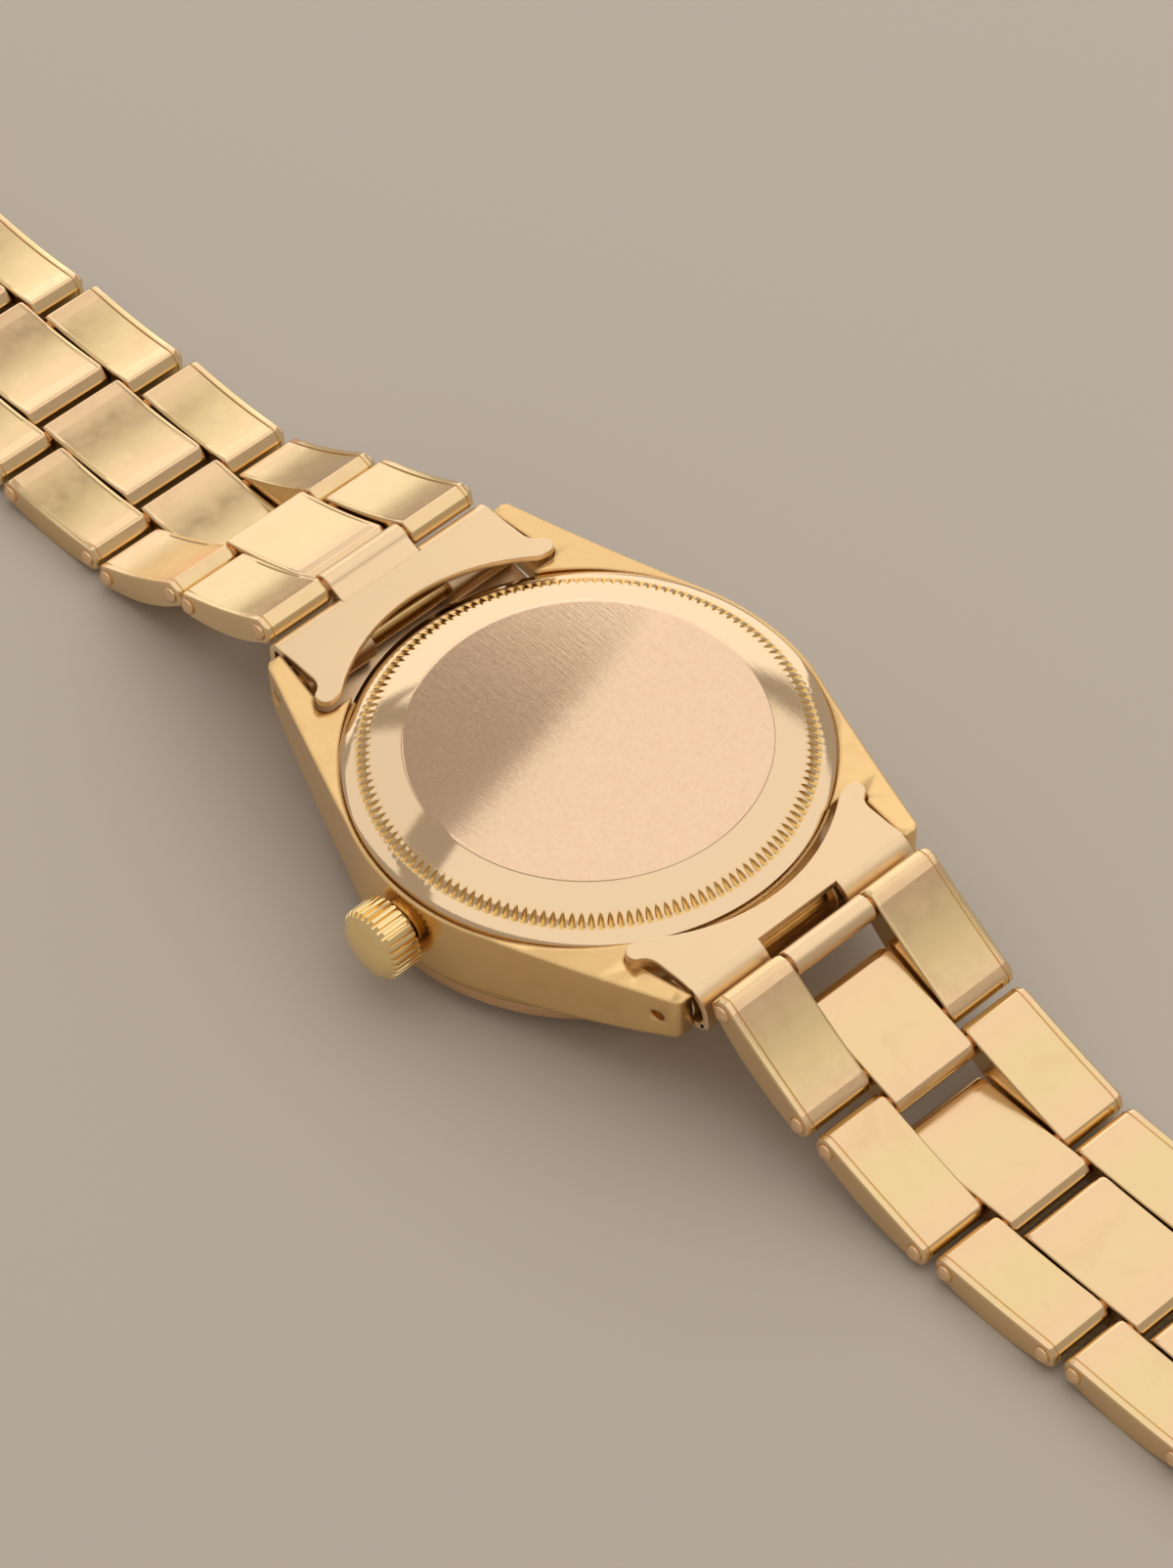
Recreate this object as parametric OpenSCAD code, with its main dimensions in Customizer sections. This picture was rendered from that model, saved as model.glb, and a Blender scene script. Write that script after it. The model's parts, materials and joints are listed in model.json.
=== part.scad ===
// Round wristwatch on a riveted folded-link bracelet, lying face down and opened flat.
// Z is up and z = 0 is the surface the watch lies on. The crystal is below and the case back is on top.
// The case axis is x = y = 0. The 12 o'clock strap runs along +Y, the 6 o'clock strap along -Y.
// The crown points along -X.

/* [Case] */
// Radius of the round middle of the case
case_r = 17.2; // [16.9:0.1:18]
// Height of the flat front of the case, where the bezel seats
case_front_z = 3.0; // [2.8:0.1:3.2]
// Height of the case where the back seats
case_back_z = 8.85; // [8.7:0.05:9.0]
// Half of the length from lug tip to lug tip
lug_half_length = 20.5; // [20:0.1:21]
// Half of the width over the lug tips
lug_half_width = 11.2; // [11.1:0.1:11.6]
// Radius of the rounded lug tips, seen from above
lug_tip_r = 0.7; // [0.5:0.05:0.8]
// Radius of the long bow along the backs of the lugs
lug_back_bow_r = 155; // [140:5:180]
// Radius of the bow along the fronts of the lugs
lug_front_bow_r = 58; // [54:1:64]
// Half of the gap between the lugs at their tips
lug_gap_half = 9.75; // [9.7:0.01:9.85]
// Radius of the case wall between the lugs
case_wall_r = 16.9; // [16.7:0.05:17]
// Radius of the opening in the front lip
front_lip_r = 13.0; // [12.8:0.1:13.1]
// Thickness of the front lip that the dial sits behind
front_lip_t = 0.7; // [0.5:0.1:0.9]
// Radius of the bore for the movement
movement_bore_r = 14.0; // [13.95:0.05:14.2]
// Radius of the bore for the neck of the case back
back_bore_r = 15.3; // [15.2:0.05:15.35]
// Depth of the bore for the neck of the case back
back_bore_depth = 2.05; // [1.9:0.05:2.2]

/* [Case back] */
// Radius of the outer flange
back_flange_r = 16.77; // [16.6:0.01:16.85]
// Height of the flange at its rim, above its seat
back_rim_h = 0.44; // [0.35:0.01:0.55]
// Radius of the tips of the coin-edge teeth
tooth_tip_r = 15.67; // [15.5:0.01:15.8]
// Radius of the valleys of the coin-edge teeth
tooth_valley_r = 14.95; // [14.8:0.01:15.1]
// Number of coin-edge teeth
tooth_count = 150; // [120:1:160]
// Height of the foot of the teeth above the seat
tooth_foot_h = 0.87; // [0.8:0.01:0.95]
// Height of the top of the teeth above the seat
tooth_top_h = 1.30; // [1.2:0.01:1.4]
// Radius of the satin disc in the middle
back_disc_r = 12.6; // [12:0.1:13]
// Height of the satin disc above the seat
back_disc_h = 2.12; // [2.0:0.01:2.3]
// Thickness of the case back over the movement
back_wall = 1.15; // [1.0:0.05:1.2]
// Length of the neck that screws into the case
back_neck_h = 1.6; // [1.3:0.1:1.8]

/* [Crystal and bezel] */
// Outer radius of the crystal
crystal_r = 14.3; // [14.2:0.05:14.4]
// Thickness of the crystal
crystal_t = 1.1; // [0.9:0.1:1.3]
// Radius of the domed front of the crystal
crystal_dome_r = 100; // [80:5:140]
// How much of the dome's top is ground flat
crystal_flat_cut = 0.15; // [0.1:0.05:0.3]
// Outer radius of the smooth bezel
bezel_r = 17.0; // [16.8:0.1:17.1]
// Radius of the bezel's round section
bezel_round_r = 1.75; // [1.6:0.05:1.9]
// Width of the gasket ring between crystal and bezel
crystal_gasket_w = 0.2; // [0.15:0.05:0.3]

/* [Crown and stem] */
// Height of the crown's axis
crown_z = 5.5; // [5.4:0.1:5.6]
// Outer radius of the crown
crown_r = 2.7; // [2.5:0.1:2.9]
// Length of the crown's fluted wall
crown_wall_len = 2.3; // [2:0.1:2.6]
// Length of the crown's domed end
crown_dome_len = 0.75; // [0.6:0.05:0.9]
// Number of flutes around the crown
flute_count = 30; // [24:1:34]
// Depth of a flute
flute_depth = 0.28; // [0.2:0.02:0.34]
// Outer radius of the crown tube
crown_tube_r = 1.7; // [1.6:0.05:1.8]
// Radius of the winding stem
stem_r = 0.55; // [0.45:0.05:0.6]
// How far the crown pulls out
crown_travel = 1.2; // [0.8:0.1:1.4]

/* [Dial and hands] */
// Radius of the dial
dial_r = 13.8; // [13.5:0.1:13.9]
// Thickness of the dial
dial_t = 0.4; // [0.3:0.05:0.5]
// Number of hour markers
marker_count = 12; // [12:12:12]
// Length of the hour hand from the centre
hour_hand_len = 7.2; // [6:0.2:8]
// Length of the minute hand from the centre
minute_hand_len = 10.8; // [9:0.2:11.2]
// Length of the seconds hand from the centre
seconds_hand_len = 11.6; // [10:0.2:12]

/* [Movement] */
// Radius of the movement
movement_r = 13.0; // [12.6:0.1:13.1]
// Thickness of the mainplate
mainplate_t = 2.4; // [2.3:0.1:2.5]
// Thickness of the train bridge
bridge_t = 1.3; // [1.2:0.1:1.4]
// Radius of the balance wheel
balance_r = 3.8; // [3.4:0.1:3.9]
// Outer radius of the winding rotor
rotor_r = 12.4; // [11.5:0.1:12.6]
// Thickness of the rotor's plate
rotor_t = 0.5; // [0.4:0.05:0.6]

/* [Bracelet links] */
// Half of the strap's width at the first row
strap_half_first = 9.5; // [9.4:0.05:9.6]
// How much narrower each row is, on each side
strap_taper = 0.275; // [0.2:0.025:0.35]
// Half of the width of the centre links
centre_half = 3.6; // [3.3:0.1:3.9]
// Gap between the centre link and the outer links
column_gap = 0.15; // [0.1:0.05:0.25]
// Radius of the rolled ends of a link
roll_r = 1.0; // [0.95:0.05:1.1]
// Distance between the two rivets of an outer link
pin_span = 8.7; // [8.4:0.1:9.0]
// Distance between the two rivets of a centre link
link_step = 2.5; // [2.4:0.05:2.7]
// Gap between one centre link and the next
centre_gap = 0.5; // [0.4:0.1:0.8]
// The same at the first two rows of the 6 o'clock side, whose flaps are shorter
short_flap_gap = 1.7; // [1.2:0.1:2.0]
// Thickness of the folded sheet
link_sheet = 0.35; // [0.3:0.05:0.4]
// Depth of the dished back of a link
back_dish = 0.3; // [0.2:0.05:0.35]
// Height of the bowed front of a link
front_bow = 0.5; // [0.4:0.05:0.6]
// Thickness of the outer side plate of a link
side_plate = 0.5; // [0.4:0.05:0.7]
// Depth of the hollow back edge of a side plate
plate_dish = 0.12; // [0.08:0.02:0.16]
// Width of the thin inner rim of a link
inner_rim = 0.3; // [0.2:0.05:0.4]
// Radius of the rivets
rivet_r = 0.5; // [0.4:0.05:0.55]
// Radius of the domed rivet heads
rivet_head_r = 0.75; // [0.65:0.05:0.8]
// Height of the domed rivet heads
rivet_head_h = 0.35; // [0.25:0.01:0.4]
// Slope of the first outer links, 12 and 6 o'clock side
first_outer_slope = [25, 36];
// Slope of the first centre link, 12 and 6 o'clock side
first_centre_slope = [20, 20];

/* [End links] */
// How far the first rivet lies past the lug tips
first_pin_out = 2.55; // [2.45:0.05:2.75]
// Height of the first rivet
first_pin_z = 10.3; // [10.2:0.05:10.4]
// How far the spring bar lies inside the lug tips
spring_bar_in = 1.5; // [1.4:0.1:1.7]
// Height of the spring bar
spring_bar_z = 8.2; // [8.1:0.05:8.3]
// Radius of the spring bar
spring_bar_r = 0.85; // [0.7:0.05:0.9]
// Radius of the spring bar's tips
spring_tip_r = 0.45; // [0.35:0.05:0.45]
// Height of the end link's back face
end_link_back_z = 10.5; // [10.4:0.05:10.6]
// Thickness of the end link's sheet
end_sheet = 0.55; // [0.45:0.05:0.6]
// How far inside the lug tips the end link is creased and starts to roll down
end_crease_in = 0.2; // [0:0.05:0.4]
// Slope of the roll at the crease
end_crease_slope = 20; // [10:1:30]
// Radius of the round ears that lie beside the case
ear_r = 0.85; // [0.75:0.05:0.95]
// How far the end link's folded nose stands out past the lug tips
end_nose_out = 1.25; // [1.15:0.05:1.3]
// Radius of the end link's concave edge round the case
end_edge_r = 17.75; // [17.5:0.05:17.9]
// Where the middle notch of the end link starts, past the lug tips, 12 and 6 o'clock side
notch_out = [0.5, -0.3];

/* [Clasp] */
// Length of the clasp cover
cover_len = 32; // [30:1:36]
// Half of the width of the clasp cover
cover_half = 8.3; // [8:0.1:8.5]
// Thickness of the clasp cover
cover_t = 0.6; // [0.5:0.05:0.65]
// Height of the clasp cover's walls
cover_wall_h = 3.1; // [2.9:0.1:3.3]
// Half of the width of the clasp blades
blade_half = 6.0; // [5:0.2:6.2]
// Thickness of the clasp blades
blade_t = 0.6; // [0.5:0.05:0.65]
// Distance between the two hinges of the middle blade
blade_span = 26; // [24:1:28]

/* [Hidden] */
$fn = 96;

// Fits. Press fits have a hair of room, so that no two pieces share space.
press_fit = 0.01;
running_fit = 0.05;
loose_fit = 0.12;
seat_gap = 0.05;
overlap = 0.01;
through = 60;
cut_over = 1;

// Colours
gold = [0.86, 0.68, 0.47];
pale_gold = [0.90, 0.75, 0.53];
steel = [0.75, 0.76, 0.78];
nickel = [0.80, 0.78, 0.72];
rubber = [0.10, 0.10, 0.10];
clear_plastic = [0.85, 0.90, 0.92, 0.5];
cream = [0.93, 0.90, 0.82];

// The two sides of the strap, by their place in the lists above
TWELVE = 0;
SIX = 1;

// Levels inside the case, from the front to the back
dial_z = case_front_z + front_lip_t;
mainplate_z = dial_z + dial_t;
bridge_z = mainplate_z + mainplate_t;
rotor_z = bridge_z + bridge_t + 0.3;
back_disc_z = case_back_z + back_disc_h;
back_ceiling_z = back_disc_z - back_wall;
back_bore_z = case_back_z - back_bore_depth;

// Places along the strap that follow the length of the lugs
spring_bar_y = lug_half_length - spring_bar_in;
end_crease_y = lug_half_length - end_crease_in;
end_nose_y = lug_half_length + end_nose_out;
first_pin_y = lug_half_length + first_pin_out;

// Circle through the ends of a chord with the given rise in its middle
function bow_radius(chord, rise) = (chord * chord / 4 + rise * rise) / (2 * rise);

// Extrudes a side profile, drawn as [y, z], from x0 to x1
module across(x0, x1) {
    translate([x0, 0, 0]) rotate([90, 0, 90]) linear_extrude(x1 - x0) children();
}

// A cylinder along Z from one height to another
module cylinder_between(r, z0, z1) {
    translate([0, 0, z0]) cylinder(r = r, h = z1 - z0);
}

// A cylinder along X through the point [y, z]
module x_bar(r, x0, x1, at = [0, 0]) {
    across(x0, x1) translate(at) circle(r);
}

// Turns children made round the Z axis to run along -X, with z = 0 at the given x
module along_minus_x(x0, z0) {
    translate([x0, 0, z0]) rotate([0, -90, 0]) children();
}

// Copies a child to both sides of the plane x = 0
module both_sides() {
    children();
    mirror([1, 0, 0]) children();
}

// Mirrors children made for the 12 o'clock side to the 6 o'clock side
module on_side(side) {
    if (side == TWELVE) children();
    else mirror([0, 1, 0]) children();
}

// Case

// Where the straight flank of a lug leaves the round case and its tip, as an angle from +X
tip_centre = [lug_half_width - lug_tip_r, lug_half_length - lug_tip_r];
flank_angle = atan2(tip_centre.y, tip_centre.x) - acos((case_r - lug_tip_r) / norm(tip_centre));
flank_dir = [cos(flank_angle), sin(flank_angle)];

// The case seen from above, with its four tapered lugs. The flats lie a hair inside their round ends.
flat_tuck = 0.03;
module case_plan_2d() {
    flat_case_r = case_r - flat_tuck;
    flat_tip_r = lug_tip_r - flat_tuck;
    circle(case_r);
    for (mx = [0, 1], my = [0, 1]) mirror([mx, 0]) mirror([0, my]) {
        polygon([[0, 0], flat_case_r * flank_dir, tip_centre + flat_tip_r * flank_dir,
            tip_centre + [0, flat_tip_r], [0, tip_centre.y + flat_tip_r]]);
        translate(tip_centre) circle(lug_tip_r);
    }
}

// The gap between two lugs: it widens towards the case and ends in a round pocket for each ear
ear_out = 0.25;
ear_in = 5.0;
ear_centre = [lug_gap_half + ear_out, lug_half_length - ear_in];
gap_flare = 0.7;
module lug_gap_2d(grow = 0) {
    tip_x = lug_gap_half + grow;
    base_x = tip_x + gap_flare;
    base_y = ear_centre.y - ear_r - grow + flat_tuck;
    difference() {
        union() {
            polygon([[-tip_x, through], [tip_x, through], [tip_x, lug_half_length], [base_x, ear_centre.y],
                [ear_centre.x, base_y], [-ear_centre.x, base_y], [-base_x, ear_centre.y],
                [-tip_x, lug_half_length]]);
            for (m = [0, 1]) mirror([m, 0]) translate(ear_centre) circle(ear_r + grow);
        }
        circle(case_wall_r);
    }
}

// Side view of the lugs: a bowed front and a hollow back
module lug_side_2d() {
    difference() {
        intersection() {
            translate([0, case_front_z + flat_tuck + lug_front_bow_r]) circle(lug_front_bow_r, $fn = 360);
            translate([-through, 0]) square([2 * through, through]);
        }
        translate([0, case_back_z + flat_tuck + lug_back_bow_r]) circle(lug_back_bow_r, $fn = 720);
    }
}

gasket_r = 0.25;
gasket_ring_r = 15.8;
gasket_groove_w = 0.7;
flange_room = 0.15;
module mid_case() {
    color(gold) difference() {
        union() {
            cylinder_between(case_r - flat_tuck, case_front_z, back_bore_z + cut_over, $fn = 180);
            intersection() {
                linear_extrude(through) case_plan_2d($fn = 180);
                across(-through, through) lug_side_2d();
            }
        }
        for (side = [TWELVE, SIX]) on_side(side) linear_extrude(through) lug_gap_2d();
        cylinder_between(back_flange_r + flange_room, case_back_z, through);
        cylinder(r = front_lip_r, h = through);
        translate([0, 0, dial_z]) cylinder(r = movement_bore_r, h = through);
        translate([0, 0, back_bore_z]) cylinder(r = back_bore_r, h = through);
        translate([0, 0, case_back_z - 2 * gasket_r]) rotate_extrude()
            translate([gasket_ring_r - gasket_groove_w / 2, 0]) square([gasket_groove_w, cut_over]);
        for (side = [TWELVE, SIX]) on_side(side)
            x_bar(spring_tip_r + running_fit, -through, through, [spring_bar_y, spring_bar_z]);
        along_minus_x(-movement_bore_r + cut_over, crown_z)
            cylinder(r = crown_tube_neck_r + press_fit, h = case_r - movement_bore_r + 2 * cut_over);
    }
}

module case_back_gasket() {
    color(rubber) translate([0, 0, case_back_z - gasket_r]) rotate_extrude()
        translate([gasket_ring_r, 0]) circle(gasket_r, $fn = 24);
}

// Smooth bezel with a round section, open in the middle for the crystal and its gasket
module bezel() {
    bezel_hole_r = crystal_r + crystal_gasket_w;
    middle_r = (bezel_r + bezel_hole_r) / 2;
    color(gold) rotate_extrude($fn = 180) intersection() {
        translate([middle_r, case_front_z + seat_gap]) circle(bezel_round_r, $fn = 96);
        translate([bezel_hole_r, 0]) square([bezel_r - bezel_hole_r, case_front_z]);
    }
}

module crystal_gasket() {
    color(cream) translate([0, 0, case_front_z - crystal_t]) rotate_extrude()
        translate([crystal_r, 0]) square([crystal_gasket_w, crystal_t]);
}

// Domed crystal with a ground flat on top and a wall that seats on the case's front lip
module crystal() {
    dome_centre_z = crystal_dome_r - crystal_flat_cut;
    color(clear_plastic) rotate_extrude($fn = 180) difference() {
        intersection() {
            square([crystal_r, case_front_z]);
            translate([0, dome_centre_z]) circle(crystal_dome_r, $fn = 720);
        }
        intersection() {
            square([crystal_r - crystal_t, through]);
            translate([0, dome_centre_z]) circle(crystal_dome_r - crystal_t, $fn = 720);
        }
    }
}

// Case back

// The narrow ledge that the teeth stand on runs a hair past their tips
tooth_ledge = 0.06;

// The flat-topped star whose points are the teeth, seen from above
module tooth_star_2d() {
    polygon([for (i = [0 : tooth_count - 1], half = [0, 1])
        let (a = 360 * (i + half / 2) / tooth_count, r = half == 0 ? tooth_tip_r : tooth_valley_r)
        r * [cos(a), sin(a)]]);
}

// The polished ring between teeth and disc: its edge covers the sharp bottoms of the valleys
disc_step = 0.08;
ring_r = tooth_valley_r + 0.06;
ring_in = [back_disc_r, back_disc_h - disc_step];
ring_out = [ring_r, tooth_top_h];
// Sphere that the ring is part of
dome_z = (ring_in * ring_in - ring_out * ring_out) / (2 * (ring_in.y - ring_out.y));
dome_r = norm([ring_out.x, ring_out.y - dome_z]);

neck_wall = 0.8;
module back_section_2d() {
    neck_r = back_bore_r - running_fit;
    difference() {
        union() {
            polygon([[0, 0], [back_flange_r, 0], [back_flange_r, back_rim_h],
                [tooth_tip_r + tooth_ledge, tooth_foot_h], [0, tooth_foot_h]]);
            intersection() {
                square([ring_r, back_disc_h - disc_step]);
                translate([0, dome_z]) circle(dome_r, $fn = 720);
            }
            square([back_disc_r - disc_step, back_disc_h]);
            translate([0, -back_neck_h]) square([neck_r, back_neck_h + overlap]);
        }
        translate([0, -2 * back_neck_h]) square([neck_r - neck_wall, 2 * back_neck_h + 0.2]);
        square([movement_bore_r - 0.4, back_disc_h - back_wall]);
    }
}

module case_back() {
    color(pale_gold) translate([0, 0, case_back_z]) union() {
        rotate_extrude($fn = 180) back_section_2d();
        intersection() {
            translate([0, 0, tooth_foot_h - 0.1]) linear_extrude(1) tooth_star_2d();
            rotate_extrude($fn = 180) polygon([[ring_r - 0.3, 0], [tooth_tip_r + tooth_ledge, 0],
                [tooth_tip_r + tooth_ledge, tooth_foot_h + 0.02], [ring_r - 0.3, tooth_top_h + 0.05]]);
        }
    }
}

// Crown, tube and stem, all round the crown's axis

crown_face_x = -case_r - 0.45;
crown_tube_neck_r = 1.1;
crown_tube_out = 1.9;
module crown_tube() {
    bore_r = stem_r + running_fit;
    neck_len = case_r - movement_bore_r + 0.6;
    color(gold) difference() {
        union() {
            along_minus_x(-movement_bore_r - 0.1, crown_z) cylinder(r = crown_tube_neck_r, h = neck_len);
            along_minus_x(-case_r - 0.05, crown_z) cylinder(r = crown_tube_r, h = crown_tube_out);
        }
        along_minus_x(0, crown_z) cylinder(r = bore_r, h = through);
    }
}

// Fluted wall with square-edged flutes, a bevelled rim and a smooth domed end
module crown() {
    cavity_r = crown_tube_r + running_fit;
    cavity_len = crown_tube_out - 0.35;
    flute_w = PI * crown_r / flute_count;
    full_len = crown_wall_len + crown_dome_len;
    cap_r = crown_r - 0.35;
    cap_bow_r = bow_radius(2 * cap_r, 0.45);
    color(pale_gold) along_minus_x(crown_face_x, crown_z) difference() {
        union() {
            linear_extrude(crown_wall_len) difference() {
                circle(crown_r);
                for (i = [0 : flute_count - 1]) rotate(360 * i / flute_count)
                    translate([crown_r - flute_depth, -flute_w / 2]) square([1, flute_w]);
            }
            rotate_extrude() intersection() {
                polygon([[0, 0.3], [crown_r - flute_depth, 0.3], [crown_r - flute_depth, crown_wall_len],
                    [cap_r, crown_wall_len + 0.3], [cap_r, full_len], [0, full_len]]);
                translate([0, full_len - cap_bow_r]) circle(cap_bow_r, $fn = 360);
            }
        }
        cylinder_between(cavity_r, -cut_over, cavity_len);
        cylinder_between(stem_r + press_fit, -cut_over, crown_wall_len);
    }
}

stem_groove_x = -10.5;
stem_groove_w = 0.6;
stem_groove_r = 0.3;
stem_inner_x = -6;
module winding_stem() {
    stem_outer_x = crown_face_x - crown_wall_len + 0.05;
    color(steel) along_minus_x(stem_inner_x, crown_z) difference() {
        cylinder(r = stem_r, h = stem_inner_x - stem_outer_x);
        translate([0, 0, stem_inner_x - stem_groove_x - stem_groove_w / 2]) difference() {
            cylinder(r = stem_r + 1, h = stem_groove_w);
            translate([0, 0, -1]) cylinder(r = stem_groove_r, h = stem_groove_w + 2);
        }
    }
}

// Setting lever whose fork rides in the stem's groove, in a pocket of the mainplate
lever_half_y = 1.4;
lever_z0 = crown_z - 0.6;
module setting_lever() {
    fork_t = stem_groove_w - 2 * running_fit;
    color(steel) difference() {
        translate([stem_groove_x - fork_t / 2, -lever_half_y, lever_z0])
            cube([fork_t, 2 * lever_half_y, bridge_z - lever_z0 - seat_gap]);
        x_bar(stem_groove_r + running_fit, -through, 0, [0, crown_z]);
        translate([stem_groove_x - 1, -stem_groove_r - running_fit, 0])
            cube([2, 2 * (stem_groove_r + running_fit), crown_z]);
    }
}

// Dial and hands

module dial() {
    color(cream) translate([0, 0, dial_z]) difference() {
        cylinder(r = dial_r, h = dial_t);
        translate([0, 0, -1]) cylinder(r = hour_pipe_r + running_fit, h = dial_t + 2);
    }
}

marker_len = 2.2;
marker_w = 0.7;
marker_h = 0.3;
module hour_markers() {
    marker_r = dial_r - marker_len - 1.6;
    color(gold) for (i = [0 : marker_count - 1]) rotate(360 * i / marker_count)
        translate([-marker_w / 2, marker_r, dial_z - marker_h]) cube([marker_w, marker_len, marker_h]);
}

// A hand seen from above: a hub with a tapered blade and a short tail
module hand_2d(hub_r, len, root_w, tip_w, tail = 0) {
    circle(hub_r);
    polygon([[-root_w / 2, -tail], [root_w / 2, -tail], [root_w / 2, hub_r],
        [tip_w / 2, len], [-tip_w / 2, len], [-root_w / 2, hub_r]]);
}

// The hands' pipes nest in one another and end just in front of the mainplate
seconds_arbor_r = 0.3;
minute_pipe_r = 0.62;
hour_pipe_r = 0.95;
hand_t = 0.15;
hand_spacing = 0.45;
hour_hand_z = dial_z - hand_spacing;
minute_hand_z = hour_hand_z - hand_spacing;
seconds_hand_z = minute_hand_z - hand_spacing;
pipe_end_z = mainplate_z - seat_gap;
arbor_depth = 1.0;

module hour_hand() {
    color(gold) difference() {
        union() {
            translate([0, 0, hour_hand_z]) linear_extrude(hand_t)
                rotate(-60) hand_2d(hub_r = 1.2, len = hour_hand_len, root_w = 1.1, tip_w = 0.5);
            cylinder_between(hour_pipe_r, hour_hand_z, pipe_end_z);
        }
        cylinder_between(minute_pipe_r + running_fit, 0, mainplate_z);
    }
}

module minute_hand() {
    color(gold) difference() {
        union() {
            translate([0, 0, minute_hand_z]) linear_extrude(hand_t)
                rotate(60) hand_2d(hub_r = 0.9, len = minute_hand_len, root_w = 0.9, tip_w = 0.35);
            cylinder_between(minute_pipe_r, minute_hand_z, pipe_end_z);
        }
        cylinder_between(seconds_arbor_r + running_fit, 0, mainplate_z);
    }
}

module seconds_hand() {
    color(gold) union() {
        translate([0, 0, seconds_hand_z]) linear_extrude(hand_t)
            rotate(180) hand_2d(hub_r = 0.6, len = seconds_hand_len, root_w = 0.3, tip_w = 0.15, tail = 3);
        cylinder_between(seconds_arbor_r, seconds_hand_z, mainplate_z + arbor_depth);
    }
}

// Movement

balance_centre = [2.5, -6.4];
balance_room = 0.5;
lever_pocket_half = lever_half_y + 0.15;
lever_end_room = 0.8;
lever_pocket_z = lever_z0 - 0.2;
stem_end_room = 0.3;
module mainplate() {
    color(nickel) difference() {
        cylinder_between(movement_r, mainplate_z, bridge_z);
        cylinder_between(seconds_arbor_r + running_fit, dial_z, mainplate_z + 2 * arbor_depth);
        along_minus_x(stem_inner_x + stem_end_room, crown_z)
            cylinder(r = stem_r + running_fit, h = movement_r);
        translate([stem_groove_x - crown_travel - lever_end_room, -lever_pocket_half, lever_pocket_z])
            cube([crown_travel + 2 * lever_end_room, 2 * lever_pocket_half, bridge_z]);
        translate(balance_centre) {
            cylinder_between(balance_r + balance_room, bridge_z - 0.4, through);
            cylinder_between(balance_staff_r + running_fit, bridge_z - 1.2, through);
        }
    }
}

rotor_post_r = 0.9;
module train_bridge() {
    top_z = bridge_z + bridge_t;
    color(nickel) difference() {
        union() {
            translate([0, 0, bridge_z]) cylinder(r = movement_r - 0.3, h = bridge_t);
            cylinder_between(rotor_post_r, top_z - overlap, rotor_z + rotor_t);
        }
        translate([0, 0, bridge_z - 1]) linear_extrude(bridge_t + 2) balance_window_2d();
    }
}

// Round window for the balance, open to the rim of the movement
module balance_window_2d() {
    translate(balance_centre) circle(balance_r + balance_room);
    translate([balance_centre.x - balance_r - balance_room, -2 * movement_r])
        square([2 * (balance_r + balance_room), 2 * movement_r + balance_centre.y]);
}

balance_staff_r = 0.2;
balance_rim_h = 0.45;
balance_z = bridge_z + 0.05;
cock_z = bridge_z + 0.75;
module balance_wheel() {
    rim_w = 0.6;
    hub_r = 0.5;
    arm_in = 0.1;
    color(gold) translate(balance_centre) union() {
        translate([0, 0, balance_z]) linear_extrude(balance_rim_h) difference() {
            circle(balance_r);
            circle(balance_r - rim_w);
        }
        translate([0, 0, balance_z + arm_in]) linear_extrude(balance_rim_h - 2 * arm_in)
            square([2 * balance_r - rim_w, rim_w], center = true);
        cylinder_between(balance_staff_r, bridge_z - 1.1, cock_z + 0.3);
        cylinder_between(hub_r, balance_z, balance_z + balance_rim_h);
    }
}

// The cock stands on a foot at the rim of the movement and reaches over the balance
module balance_cock() {
    top_z = bridge_z + bridge_t;
    arm_w = 2.0;
    foot_w = 5.0;
    foot_y = balance_centre.y - balance_r - balance_room - 0.1;
    color(nickel) difference() {
        intersection() {
            cylinder_between(movement_r - 0.35, bridge_z, top_z);
            union() {
                translate(balance_centre) cylinder_between(arm_w / 2, cock_z, top_z);
                translate([balance_centre.x - arm_w / 2, -movement_r, cock_z])
                    cube([arm_w, movement_r + balance_centre.y, top_z - cock_z]);
                translate([balance_centre.x - foot_w / 2, -movement_r, bridge_z])
                    cube([foot_w, movement_r + foot_y, top_z - bridge_z]);
            }
        }
        translate(balance_centre) cylinder_between(balance_staff_r + running_fit, bridge_z, top_z + cut_over);
    }
}

// Winding rotor: a half disc with a heavy rim, turning on the bridge's post
module rotor() {
    rim_w = 1.6;
    rim_h = 1.0;
    color(nickel) translate([0, 0, rotor_z]) difference() {
        union() {
            intersection() {
                union() {
                    cylinder(r = rotor_r, h = rotor_t);
                    difference() {
                        cylinder(r = rotor_r, h = rim_h);
                        cylinder_between(rotor_r - rim_w, -cut_over, through);
                    }
                }
                translate([-through / 2, 0, -cut_over]) cube([through, through, through]);
            }
            cylinder(r = 2.2, h = rotor_t);
        }
        cylinder_between(rotor_post_r + running_fit, -cut_over, through);
    }
}

module movement_ring() {
    color(nickel) difference() {
        cylinder_between(movement_bore_r - running_fit, mainplate_z, back_bore_z - 0.2);
        cylinder_between(movement_r + running_fit, 0, through);
        along_minus_x(0, crown_z) cylinder(r = stem_r + running_fit, h = through);
    }
}

// Bracelet

function strap_half(row) = strap_half_first - strap_taper * (row - 1);
flat_pin_z = roll_r + front_bow;
function flap_len(side, row) = pin_span - 2 * roll_r
    - (side == SIX && row <= 2 ? short_flap_gap : centre_gap);

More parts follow.
